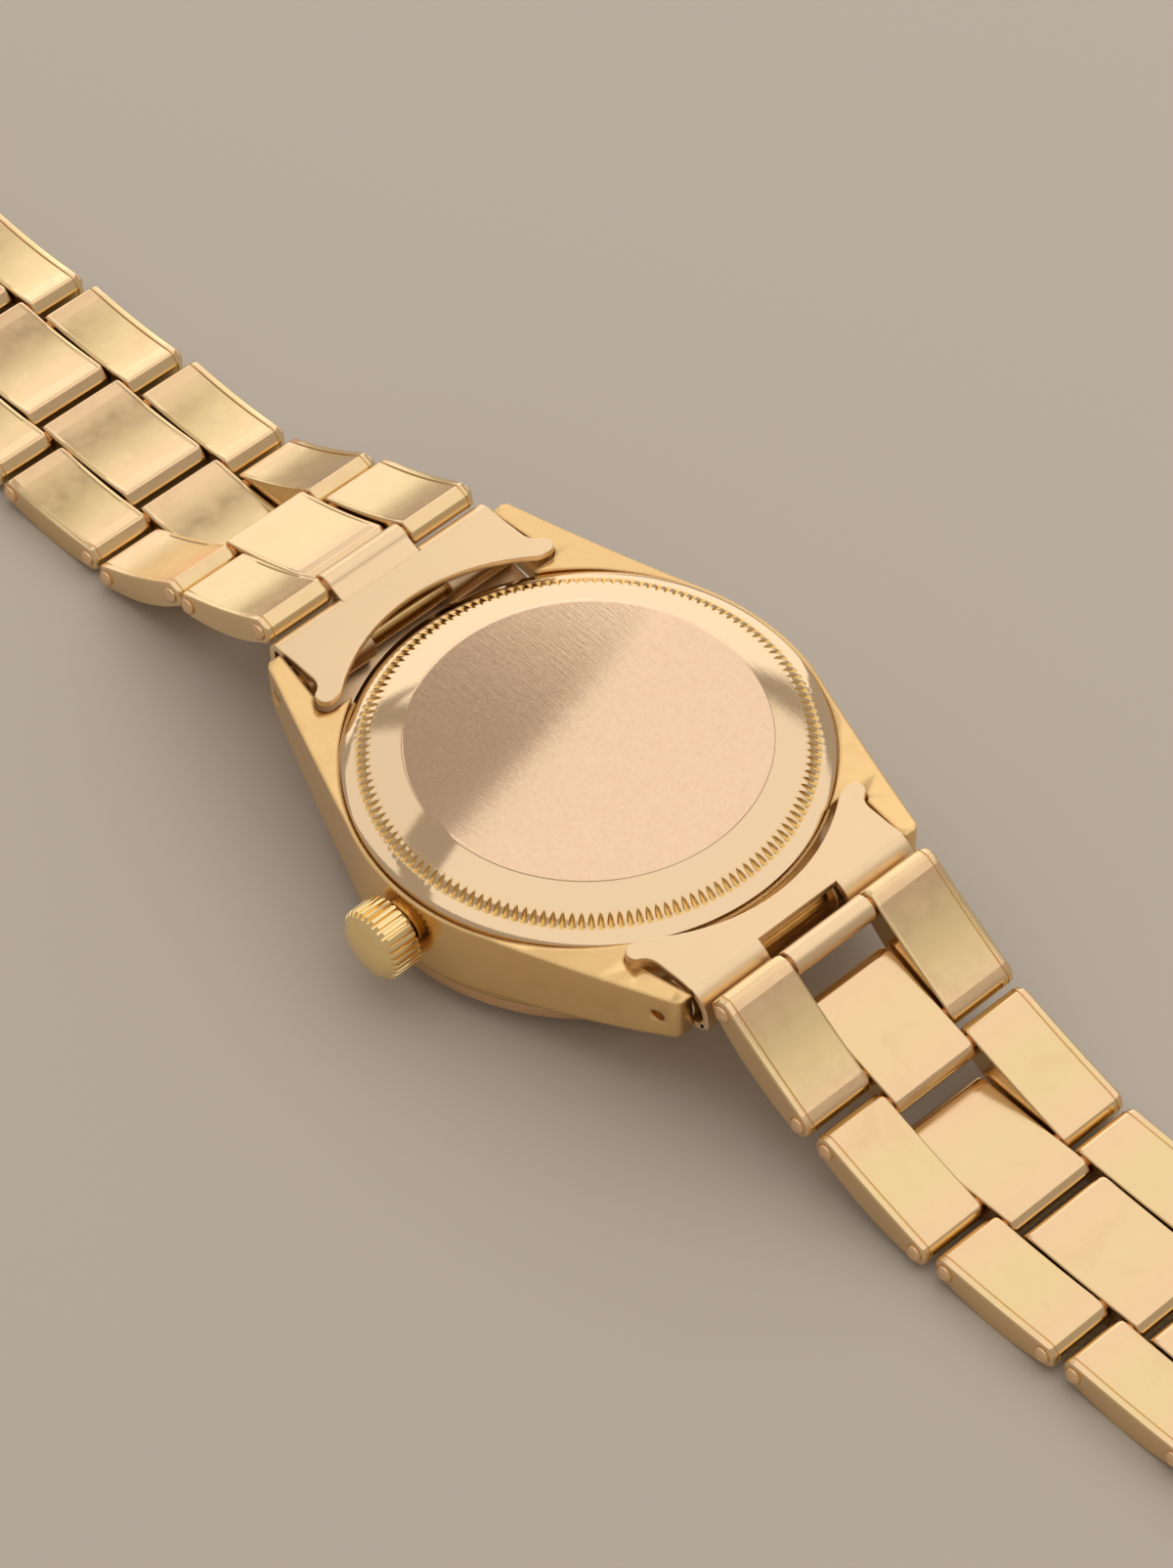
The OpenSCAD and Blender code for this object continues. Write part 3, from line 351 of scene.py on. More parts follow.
@dataclass(frozen=True)
class CaseBackFinish:
    """The screwed case back: a wiped disc, a polished ring and flange, and gritty cuts between the teeth.

    Attributes:
        name: Name of the material.
        disc: Colour of the disc.
        dull: Colour of the handled spots on the disc.
        ring: Colour of the polished ring and flange.
        cuts: Colour of the cuts between the teeth: a darker, deeper amber that is painted shade and a painted
            glow of light bouncing between the teeth.
        disc_r_mm: Radius of the disc.
        disc_roughness: Roughness of the disc.
        ring_roughness: Roughness of the polished ring and flange.
        cut_roughness: Roughness of the cuts.
        speck_mm: Size of the specks on the disc.
        scratch_mm: Spacing of the wiped scratches.
        scratch_depth: Strength of the scratches in the bump, from 0 to 1.
        grit_mm: Size of the grit in the cuts.
        grit_depth: Strength of the grit in the bump, from 0 to 1.
        edge_mm: Radius of the polished edges.
    """

    name: str
    disc: str
    dull: str
    ring: str
    cuts: str
    disc_r_mm: float = 12.55
    disc_roughness: float = 0.04
    ring_roughness: float = 0.06
    cut_roughness: float = 0.32
    speck_mm: float = 0.3
    # Real scratches lie about 0.03 mm apart; drawn coarser so that they show from the camera
    scratch_mm: float = 0.14
    scratch_depth: float = 0.3
    grit_mm: float = 0.08
    grit_depth: float = 0.9
    edge_mm: float = 0.03

    def make(self) -> bpy.types.Material:
        """Builds the material.

        Returns:
            The finished node material.
        """
        material, tree = blank_material(self.name)
        place = add_node(tree, "ShaderNodeTexCoord").outputs["Object"]
        parts = add_node(tree, "ShaderNodeSeparateXYZ", links={"0": place}).outputs
        flat = add_node(tree, "ShaderNodeCombineXYZ", links={"X": parts["X"], "Y": parts["Y"]})
        radius = add_node(tree, "ShaderNodeVectorMath", {"operation": "LENGTH"},
                          links={"0": flat.outputs["Vector"]}).outputs["Value"]
        past_disc = add_node(tree, "ShaderNodeMapRange", links={"Value": radius},
                             values={"From Min": self.disc_r_mm * MM,
                                     "From Max": (self.disc_r_mm + 0.05) * MM}).outputs["Result"]
        in_cut = add_node(tree, "ShaderNodeAttribute", {"attribute_name": CUT}).outputs["Fac"]
        specks = add_node(tree, "ShaderNodeTexNoise", links={"Vector": place},
                          values={"Scale": 1 / (self.speck_mm * MM), "Detail": 6.0, "Roughness": 0.75})
        handled = add_node(tree, "ShaderNodeMapRange", links={"Value": specks.outputs["Fac"]},
                           values={"From Min": 0.42, "From Max": 0.68, "To Min": 0.0, "To Max": 0.4})
        disc = add_node(tree, "ShaderNodeMix", {"data_type": "RGBA"}, links={"0": handled.outputs["Result"]},
                        values={"6": linear(self.disc), "7": linear(self.dull)})
        ring = add_node(tree, "ShaderNodeMix", {"data_type": "RGBA"},
                        links={"0": past_disc, "6": disc.outputs[2]},
                        values={"7": linear(self.ring)})
        # Painted shade and glow: the cuts get a darker, deeper amber in place of the light that bounces
        # between the teeth
        colour = add_node(tree, "ShaderNodeMix", {"data_type": "RGBA"},
                          links={"0": in_cut, "6": ring.outputs[2]}, values={"7": linear(self.cuts)})
        rough_disc = add_node(tree, "ShaderNodeMapRange", links={"Value": specks.outputs["Fac"]},
                              values={"From Min": 0.3, "From Max": 0.7, "To Min": self.disc_roughness * 0.8,
                                      "To Max": self.disc_roughness * 1.25})
        rough_ring = add_node(tree, "ShaderNodeMix",
                              links={"0": past_disc, "2": rough_disc.outputs["Result"]},
                              values={"3": self.ring_roughness})
        rough = add_node(tree, "ShaderNodeMix", links={"0": in_cut, "2": rough_ring.outputs["Result"]},
                         values={"3": self.cut_roughness})
        wiped = self.scratches(tree, place, 37)
        crossed = self.scratches(tree, place, -58)
        both = add_node(tree, "ShaderNodeMath", {"operation": "ADD"}, links={"0": wiped, "1": crossed})
        grit = add_node(tree, "ShaderNodeTexNoise", links={"Vector": place},
                        values={"Scale": 1 / (self.grit_mm * MM), "Detail": 3.0, "Roughness": 0.7})
        height = add_node(tree, "ShaderNodeMix", links={"0": in_cut, "2": both.outputs["Value"],
                                                        "3": grit.outputs["Fac"]})
        strength = add_node(tree, "ShaderNodeMapRange", links={"Value": in_cut},
                            values={"To Min": self.scratch_depth, "To Max": self.grit_depth})
        edge = add_node(tree, "ShaderNodeBevel", {"samples": 4}, values={"Radius": self.edge_mm * MM})
        bump = add_node(tree, "ShaderNodeBump", links={"Height": height.outputs["Result"],
                                                       "Strength": strength.outputs["Result"],
                                                       "Normal": edge.outputs["Normal"]},
                        values={"Distance": 0.006 * MM})
        shader = add_node(tree, "ShaderNodeBsdfPrincipled",
                          links={"Base Color": colour.outputs[2], "Roughness": rough.outputs["Result"],
                                 "Normal": bump.outputs["Normal"]},
                          values={"Metallic": 1.0})
        add_node(tree, "ShaderNodeOutputMaterial", links={"Surface": shader.outputs["BSDF"]})
        return material

    def scratches(self, tree: bpy.types.NodeTree, place: bpy.types.NodeSocket,
                  degrees: float) -> bpy.types.NodeSocket:
        """Adds fine scratches that run one way.

        Args:
            tree: The material's node tree.
            place: Socket with the point in metres.
            degrees: Which way they run.

        Returns:
            Socket with their height.
        """
        run = add_node(tree, "ShaderNodeMapping", links={"Vector": place},
                       values={"Rotation": (0.0, 0.0, math.radians(degrees)),
                               "Scale": (1 / (self.scratch_mm * MM), 0.05 / (self.scratch_mm * MM), 1.0)})
        return add_node(tree, "ShaderNodeTexNoise", links={"Vector": run.outputs["Vector"]},
                        values={"Scale": 1.0, "Detail": 4.0, "Roughness": 0.7}).outputs["Fac"]


@dataclass
class Finishes:
    """All materials of the watch, made once and shared."""

    # Rolled and tumbled sheet: soft broad highlights, straw yellow in a link's middle and rosy at its ends
    strap: GoldFinish = GoldFinish(
        "gold_strap_rolled_sheet", "#EBD09C", "#DBB383", tarnish_share=0.35, patch_mm=4.0, film=0.4,
        roughness=0.2, wear=0.05, grain=Grain.SATIN, grain_mm=0.10, grain_depth=0.08, edge_mm=0.05,
        ends="#EFCCA2")
    # The same sheet, rubbed by the wrist: a little smoother, so that its highlights are crisper
    centre: GoldFinish = GoldFinish(
        "gold_centre_links_rolled_sheet", "#ECD09F", "#DAB284", tarnish_share=0.38, patch_mm=4.5, film=0.4,
        roughness=0.18, wear=0.05, grain=Grain.SATIN, grain_mm=0.10, grain_depth=0.08, edge_mm=0.05,
        ends="#EFCBA3")
    # Fine satin sheet: an even, pale cream plate with no clear reflections
    end_link: GoldFinish = GoldFinish(
        "gold_end_links_satin", "#F2D5AC", "#E2C193", tarnish_share=0.3, patch_mm=6.0, film=0.35,
        roughness=0.36, wear=0.04, grain=Grain.SATIN, grain_mm=0.06, grain_depth=0.10, edge_mm=0.08)
    # Brushed along the watch: dark and bright run out in streaks, and hollows glow amber
    case: GoldFinish = GoldFinish(
        "gold_case_satin_brushed", "#EFC98D", "#CFA066", tarnish_share=0.3, patch_mm=4.5, film=0.5,
        roughness=0.22, wear=0.05, grain=Grain.BRUSHED_LENGTHWISE, grain_mm=0.08, grain_depth=0.25,
        edge_mm=0.35)
    # Polished corners of the case: thin bright lines along its edges
    case_edge: GoldFinish = GoldFinish(
        "gold_case_edges_polished", "#F0CBA0", "#DDB183", tarnish_share=0.3, patch_mm=3.0, film=0.3,
        roughness=0.10, wear=0.04, grain=Grain.POLISHED, grain_mm=0.15, grain_depth=0.04, edge_mm=0.35)
    # Wiped disc, mirror ring and gritty milled cuts: the room shows in it, crossed by fine scratches; the
    # cuts' darker amber is painted shade and painted bounced glow
    back: CaseBackFinish = CaseBackFinish(
        "gold_case_back_wiped_and_milled", disc="#EFD0AF", dull="#DDB694", ring="#E9CEA8", cuts="#E6BC72")
    # Polished and worn at the grip: small sharp lights on every flute
    crown: GoldFinish = GoldFinish(
        "gold_crown_polished", "#F8DCA0", "#E6C083", tarnish_share=0.3, patch_mm=1.5, film=0.5,
        roughness=0.13, wear=0.04, grain=Grain.SATIN, grain_mm=0.08, grain_depth=0.06, edge_mm=0.03)
    # Rivet heads burnished by a dome punch: a small bright light in each
    rivet: GoldFinish = GoldFinish(
        "gold_rivets_punched", "#F0CBA0", "#D8A878", tarnish_share=0.3, patch_mm=1.2, film=0.4,
        roughness=0.14, wear=0.05, grain=Grain.SATIN, grain_mm=0.08, grain_depth=0.08, edge_mm=0.03)
    # Mirror polish: the table and the lamps show in it
    bezel: GoldFinish = GoldFinish(
        "gold_bezel_polished", "#EFC89C", "#DDB488", tarnish_share=0.2, patch_mm=3.0, film=0.3,
        roughness=0.08, wear=0.03, grain=Grain.POLISHED, grain_mm=0.2, grain_depth=0.05, edge_mm=0.05)
    # Drawn steel: cool grey with a soft light along it
    steel: PlainMetal = PlainMetal("steel_drawn", "#C9C8C6", "#A9A8A6", roughness=0.25, grain_mm=0.08)
    # Gilt steel of the spring bars: darker yellow than the case
    bar: PlainMetal = PlainMetal("steel_spring_bar_gilt", "#DDBC82", "#B08A52", roughness=0.2, grain_mm=0.08)
    # Plated and grained brass of the works: an even pale grey-yellow
    nickel: PlainMetal = PlainMetal("nickel_plated_works", "#D8D3C8", "#BEB7A8", roughness=0.3, grain_mm=0.1)
    # Moulded rubber: a dull dark ring that takes no highlight
    rubber: SoftFinish = SoftFinish("rubber_gasket_moulded", "#17150F", "#241F17", roughness=0.6, ior=1.5)
    # Turned nylon: a milky line round the crystal
    nylon: SoftFinish = SoftFinish("nylon_gasket_turned", "#E6E0D0", "#D6CDB8", roughness=0.45, ior=1.53)
    # Sprayed lacquer: even cream with a faint sheen
    dial: SoftFinish = SoftFinish("lacquer_dial_sprayed", "#F0EBDD", "#E4DCC8", roughness=0.3, ior=1.5)
    # Turned and polished acrylic: clear, with a sharp reflection at its edge
    crystal: SoftFinish = SoftFinish("acrylic_crystal_turned", "#FFFFFF", "#F6F8F8", roughness=0.03,
                                     ior=1.49, clear=0.95, grain_mm=2.0)

    made: dict[str, bpy.types.Material] = field(default_factory=dict)

    def get(self, name: str) -> bpy.types.Material:
        """Makes a material the first time that it is asked for, and gives the same one after that.

        Args:
            name: Name of the field that holds its finish.

        Returns:
            The material.
        """
        if name not in self.made:
            self.made[name] = getattr(self, name).make()
        return self.made[name]


# Shape helpers


def rounded(corners: list[Corner], steps: int = 5) -> Outline:
    """Rounds the corners of a closed outline.

    Args:
        corners: Corner points in order, each with the radius of its rounding. Zero keeps it sharp.
        steps: Points along each rounded corner.

    Returns:
        The outline's points: one for a sharp corner and as many as there are steps for a rounded one.
    """
    points: Outline = []
    count = len(corners)
    for i, (x, y, radius) in enumerate(corners):
        here = Vector((x, y))
        back = Vector(corners[i - 1][:2]) - here
        ahead = Vector(corners[(i + 1) % count][:2]) - here
        if radius <= 0:
            points.append((x, y))
            continue
        half = back.angle(ahead) / 2
        # Two roundings on one side never meet
        reach = min(radius / math.tan(half), 0.49 * back.length, 0.49 * ahead.length)
        start = here + back.normalized() * reach
        end = here + ahead.normalized() * reach
        for k in range(steps):
            t = k / (steps - 1)
            # A curve with its handle at the corner: close to an arc, and safe at any angle
            spot = start * (1 - t) ** 2 + here * (2 * t * (1 - t)) + end * t ** 2
            points.append((spot.x, spot.y))
    return points


def inset(outline: Outline, distance: float) -> Outline:
    """Moves every point of a closed outline inwards.

    Args:
        outline: Points in counter-clockwise order.
        distance: How far to move them.

    Returns:
        The moved points, in the same order.
    """
    moved: Outline = []
    count = len(outline)
    for i, (x, y) in enumerate(outline):
        ax, ay = outline[i - 1]
        bx, by = outline[(i + 1) % count]
        before = Vector((x - ax, y - ay))
        after = Vector((bx - x, by - y))
        run = before.normalized() + after.normalized()
        if run.length < SAME_MM:
            moved.append((x, y))
            continue
        run.normalize()
        # A sharp corner moves further than the sides do, within limits
        stretch = 1 / max(run.dot(after.normalized()), 0.6)
        moved.append((x - run.y * distance * stretch, y + run.x * distance * stretch))
    return moved


def inset_from(outline: Outline, distance: float, axis: int, line: float) -> Outline:
    """Moves a closed outline inwards, all but the points where the next piece goes on.

    Args:
        outline: Points in counter-clockwise order.
        distance: How far to move them.
        axis: The coordinate that tells which points stay: 0 or 1.
        line: Its value at those points.

    Returns:
        The points, in the same order.
    """
    return [kept if abs(kept[axis] - line) < SAME_MM else moved
            for kept, moved in zip(outline, inset(outline, distance))]


def circle(centre: Point, r: float, count: int) -> Outline:
    """Points of a circle, counter-clockwise."""
    turns = [2 * math.pi * i / count for i in range(count)]
    return [(centre[0] + r * math.cos(turn), centre[1] + r * math.sin(turn)) for turn in turns]


def loft(rings: list[list[Vector]]) -> bmesh.types.BMesh:
    """Joins rings of points to a closed solid.

    Args:
        rings: Rings in order, all with the same number of points. The first and last are closed with a face.

    Returns:
        The new mesh.
    """
    bm = bmesh.new()
    made = [[bm.verts.new(p) for p in ring] for ring in rings]
    count = len(rings[0])
    for a, b in zip(made, made[1:]):
        for i in range(count):
            j = (i + 1) % count
            bm.faces.new((a[i], a[j], b[j], b[i]))
    bm.faces.new(list(reversed(made[0])))
    bm.faces.new(made[-1])
    return bm


def loft_across(placed: Matrix, sections: list[tuple[float, Outline]]) -> bmesh.types.BMesh:
    """Joins side views to a closed solid.

    Args:
        placed: From the side views' frame in mm to the row frame in metres.
        sections: Where each side view lies across the strap, and its points as (y, z).

    Returns:
        The new mesh.
    """
    return loft([[placed @ Vector((x, y, z)) for y, z in outline] for x, outline in sections])


def join(parts: list[bmesh.types.BMesh]) -> bmesh.types.BMesh:
    """Puts several meshes into the first one.

    Args:
        parts: Meshes to join. All but the first are freed.

    Returns:
        The first mesh, which now holds all of them.
    """
    whole = parts[0]
    for part in parts[1:]:
        mesh = bpy.data.meshes.new("joining")
        part.to_mesh(mesh)
        part.free()
        whole.from_mesh(mesh)
        bpy.data.meshes.remove(mesh)
    return whole


def mark(bm: bmesh.types.BMesh, name: str, values: list[float]) -> None:
    """Stores a number at each point of a mesh, for its finish to read.

    Args:
        bm: The mesh.
        name: Name that the finish reads.
        values: The numbers, in the order of the points.
    """
    layer = bm.verts.layers.float.new(name)
    for vert, value in zip(bm.verts, values, strict=True):
        vert[layer] = value


def to_object(bm: bmesh.types.BMesh, name: str, material: bpy.types.Material,
              sharp_degrees: float = 38.0) -> bpy.types.Object:
    """Makes an object of a mesh, smooth but for its sharp edges.

    Args:
        bm: The mesh, which is freed.
        name: Name of the object.
        material: Its material.
        sharp_degrees: Edges that turn more than this stay sharp.

    Returns:
        The new object, in the scene.
    """
    bmesh.ops.recalc_face_normals(bm, faces=bm.faces)
    for face in bm.faces:
        face.smooth = True
    limit = math.radians(sharp_degrees)
    for edge in bm.edges:
        if len(edge.link_faces) == 2 and edge.calc_face_angle(0.0) > limit:
            edge.smooth = False
    mesh = bpy.data.meshes.new(name)
    bm.to_mesh(mesh)
    bm.free()
    mesh.materials.append(material)
    piece = bpy.data.objects.new(name, mesh)
    bpy.context.scene.collection.objects.link(piece)
    weighted = piece.modifiers.new("even shading", "WEIGHTED_NORMAL")
    weighted.keep_sharp = True
    weighted.weight = NORMAL_WEIGHT
    return piece


def dress_node(frame: dict, node: str, material: bpy.types.Material, edge_mm: float = 0.0,
               edge: bpy.types.Material | None = None) -> None:
    """Gives a node of the model its finish, and breaks its sharp edges.

    Args:
        node: Name of the node.
        material: Its material.
        edge_mm: Width of the broken edges. Zero leaves them as they are.
        edge: Material of the broken edges, or none for the same as the faces.
    """
    piece = frame["nodes"][node]
    if not piece.material_slots:
        piece.data.materials.append(material)
    for slot in piece.material_slots:
        slot.material = material
    if edge_mm > 0:
        weld = piece.modifiers.new("one skin", "WELD")
        weld.merge_threshold = WELD_MM * MM
        bevel = piece.modifiers.new("broken edges", "BEVEL")
        bevel.width = edge_mm * MM
        bevel.segments = 3
        bevel.limit_method = "ANGLE"
        bevel.angle_limit = math.radians(BROKEN_DEGREES)
        bevel.loop_slide = False
        bevel.miter_outer = "MITER_ARC"
        if edge is not None:
            piece.data.materials.append(edge)
            bevel.material = len(piece.material_slots) - 1
        weighted = piece.modifiers.new("even shading", "WEIGHTED_NORMAL")
        weighted.weight = NORMAL_WEIGHT
    log.info("dressed %s with %s", node, material.name)


# Bracelet


@dataclass
class StrapPlan:
    """Where the rivets of one half of the bracelet lie. Lengths in mm, slopes in degrees."""

    side: Side
    first_outer_slope: float
    first_centre_slope: float
    first_pin_y: float = 23.05
    first_pin_z: float = 10.3
    pin_span: float = 8.7
    link_step: float = 2.5
    flat_pin_z: float = 1.5

    def outer_slope(self, row: int) -> float:
        """Slope of the outer links of a row: the second row lands the strap on the table.

        Args:
            row: Row number, counted from the case.

        Returns:
            The slope in degrees.
        """
        if row == 1:
            return self.first_outer_slope
        if row > 2:
            return 0.0
        drop = (self.first_pin_z - self.flat_pin_z
                - self.pin_span * math.sin(math.radians(self.first_outer_slope))
                - self.link_step * math.sin(math.radians(self.first_centre_slope)))
        return math.degrees(math.asin(drop / self.pin_span))

    def centre_slope(self, row: int) -> float:
        """Slope of the centre link of a row."""
        return self.first_centre_slope if row == 1 else 0.0

    def upper_pin(self, row: int) -> Vector:
        """Finds the rivet of a row that is nearer the case.

        Args:
            row: Row number, counted from the case.

        Returns:
            Its place as (y, z).
        """
        if row == 1:
            return Vector((self.first_pin_y, self.first_pin_z))
        return self.step(self.lower_pin(row - 1), self.link_step, self.centre_slope(row - 1))

    def lower_pin(self, row: int) -> Vector:
        """Place of the rivet further from the case, as (y, z)."""
        return self.step(self.upper_pin(row), self.pin_span, self.outer_slope(row))

    def step(self, start: Vector, length: float, slope: float) -> Vector:
        """Walks down a slope from a point."""
        angle = math.radians(slope)
        return start + length * Vector((math.cos(angle), -math.sin(angle)))

    def place(self, pin: Vector, slope: float) -> Matrix:
        """Turns a link's own frame, in mm round its rivet, to the row frame in metres.

        Args:
            pin: The rivet as (y, z).
            slope: The link's slope in degrees.

        Returns:
            The matrix.
        """
        there = Matrix.Translation((0, pin.x, pin.y)) @ Matrix.Rotation(math.radians(-slope), 4, "X")
        return self.to_row_frame() @ there

    def to_row_frame(self) -> Matrix:
        """The matrix from this side's own frame in mm, drawn towards +Y, to the row frame in metres."""
        flip = Matrix.Scale(-1, 4, (0, 1, 0)) if self.side is Side.SIX else Matrix()
        return Matrix.Scale(MM, 4) @ flip


@dataclass(frozen=True)
class LinkCut:
    """One cut across a folded link.

    Attributes:
        x: Where the cut lies across the strap, in mm.
        narrow: How far the outline is moved in, in mm.
        dish: Depth of the hollow back, in mm.
        drop: How far the whole back is sunk, in mm.
        pull: How far the rolled ends are pulled in, in mm.
    """

    x: float
    narrow: float
    dish: float
    drop: float = 0.0
    pull: float = 0.0


@dataclass
class FoldedLink:
    """A link folded from sheet and rolled round its rivets, lofted across the strap. Lengths in mm.

    Attributes:
        start: Where the first roll lies along the strap.
        end: Where the last roll lies along the strap.
        left: One edge across the strap.
        right: The other edge across the strap.
        outer_plate: Width of the side plate at the right edge, or zero where both edges have a thin rim.
        sheet_dish: Depth of the hollow in the back.
        field_step: How far the field lies below its rims.
        facet: How much the rolls are flattened, from 0 for round to 1.
        roll_r: Radius of the rolls.
        front_bow: How far the front bows out in the middle.
        rim: Width of a thin rim.
        edge_round: Radius of the rounded edges.
    """

    start: float
    end: float
    left: float
    right: float
    outer_plate: float = 0.0
    sheet_dish: float = 0.12
    field_step: float = 0.0
    facet: float = 0.2
    roll_r: float = 1.0
    front_bow: float = 0.5
    rim: float = 0.3
    edge_round: float = 0.14

    def profile(self, cut: LinkCut) -> Outline:
        """Side view of the link at one cut: bowed front, rolled ends and a hollow back.

        Args:
            cut: The cut.

        Returns:
            The outline as (y, z), counter-clockwise.
        """
        r = self.roll_r
        middle = (self.start + self.end) / 2
        half = (self.end - self.start) / 2
        crest = 0.5 - 0.22 * self.facet
        crease = 0.25 + 0.7 * self.facet
        corners: list[Corner] = []
        for k in range(11):
            t = -1 + k / 5
            corners.append((middle + t * half, -r - self.front_bow * (1 - t * t), 0))
        for sign, at in ((1, self.end - cut.pull), (-1, self.start + cut.pull)):
            roll = [(at + sign * 0.6 * r, -0.93 * r, 0.45), (at + sign * r, -0.5 * r, 0.45),
                    (at + sign * r, (0.46 - 0.3 * self.facet) * r, 0.5),
                    (at + sign * crest * r, r * (1 - 0.03 * (1 - self.facet)), 0.6 - 0.4 * self.facet),
                    (at - sign * crease, self.back(cut, (half - crease) / half), 0.5)]
            if sign < 0:
                roll.reverse()
            corners.extend(roll)
            if sign > 0:
                for k in range(9):
                    t = (half - crease) / half * (1 - (k + 1) / 5)
                    corners.append((middle + t * half, self.back(cut, t), 0))
        return rounded(corners)

    def back(self, cut: LinkCut, t: float) -> float:
        """Height of the hollow back at a share of the way from the link's middle to its end."""
        return self.roll_r - cut.drop - cut.dish * (1 - t * t)

    def edge_cuts(self, edge: float, inwards: int, dish: float) -> list[LinkCut]:
        """Cuts that round an edge of the link.

        Args:
            edge: Where the edge lies across the strap.
            inwards: 1 where the link lies to the right of it, -1 where to the left.
            dish: Depth of the hollow back there.

        Returns:
            The cuts, from the edge inwards.
        """
        reach = self.edge_round
        # Shares of the reach across the strap and of the narrowing, and the pull of the rolls in mm
        steps = ((0.0, 1.0, 0.2), (0.2, 0.5, 0.14), (0.55, 0.15, 0.09), (1.0, 0.0, 0.05))
        return [LinkCut(edge + inwards * x * reach, narrow * reach, dish, 0.0, pull)
                for x, narrow, pull in steps]

    def cuts(self) -> list[LinkCut]:
        """Puts the cuts across the link together.

        Returns:
            The cuts, from its left to its right edge.
        """
        field_dish, step = self.sheet_dish, self.field_step
        rim_dish = field_dish - step
        plate = self.outer_plate or self.rim
        seam = 0.1 if self.outer_plate else 0.0
        cuts = self.edge_cuts(self.left, 1, rim_dish)
        cuts += [LinkCut(self.left + self.rim, 0.0, rim_dish, 0.0, 0.02),
                 LinkCut(self.left + self.rim + 0.1, 0.0, field_dish, step),
                 LinkCut(self.right - plate - 0.12, 0.0, field_dish, step),
                 LinkCut(self.right - plate - 0.05, seam, field_dish, 0.0),
                 LinkCut(self.right - plate, 0.0, rim_dish)]
        return cuts + list(reversed(self.edge_cuts(self.right, -1, rim_dish)))

    def build(self, placed: Matrix, mirrored: bool = False) -> bmesh.types.BMesh:
        """Lofts the link.

        Args:
            placed: From the link's frame in mm to the row frame in metres.
            mirrored: Whether to build the one for the other side of the strap.

        Returns:
            The mesh.
        """
        turn = -1 if mirrored else 1
        return loft_across(placed, [(turn * cut.x, inset(self.profile(cut), cut.narrow))
                                    for cut in self.cuts()])

    def tint_ends(self, bm: bmesh.types.BMesh, placed: Matrix) -> None:
        """Marks how near each point of finished links is to a rolled end.

        Args:
            bm: The mesh.
            placed: The matrix that the links were built with.
        """
        back = placed.inverted()
        middle = (self.start + self.end) / 2
        half = (self.end - self.start) / 2
        tints = []
        for vert in bm.verts:
            t = abs((back @ vert.co).y - middle) / half
            # Rosy where the field runs into the roll, yellow again round the roll itself
            tints.append(t ** 2.5 if t < 1 else max(0.0, 1 - (t - 1) * half / self.roll_r))
        mark(bm, END_TINT, tints)


@dataclass
class Rivet:
    """A rivet across the strap with a domed head, dimpled by the punch, at each end. Lengths in mm."""

    half_len: float
    shaft_r: float = 0.5
    head_r: float = 0.64
    head_h: float = 0.35
    collar_h: float = 0.05
    dimple_r: float = 0.2
    dimple_h: float = 0.07
    segments: int = 32

    def build(self, placed: Matrix, along: float) -> bmesh.types.BMesh:
        """Turns the rivet.

        Args:
            placed: From the link's frame in mm to the row frame in metres.
            along: Where the rivet lies along the link.

        Returns:
            The mesh.
        """
        rim, dome_h = self.dimple_r, self.head_h - self.collar_h
        head = [(self.head_r, 0.0), (self.head_r, self.collar_h)]
        for k in range(1, 8):
            angle = math.pi / 2 * k / 8
            head.append((self.head_r * math.cos(angle), self.collar_h + dome_h * math.sin(angle)))
        head = [spot for spot in head if spot[0] > rim + 0.04]
        head += [(rim, self.head_h - 0.01), (0.7 * rim, self.head_h - 0.5 * self.dimple_h),
                 (0.3 * rim, self.head_h - 0.95 * self.dimple_h), (0.02, self.head_h - self.dimple_h)]
        half = [(self.shaft_r, 0.0)] + [(r, self.half_len + h) for r, h in head]
        lathe = [(r, -x) for r, x in reversed(half)] + half[1:]
        return loft_across(placed, [(x, circle((along, 0.0), r, self.segments)) for r, x in lathe])


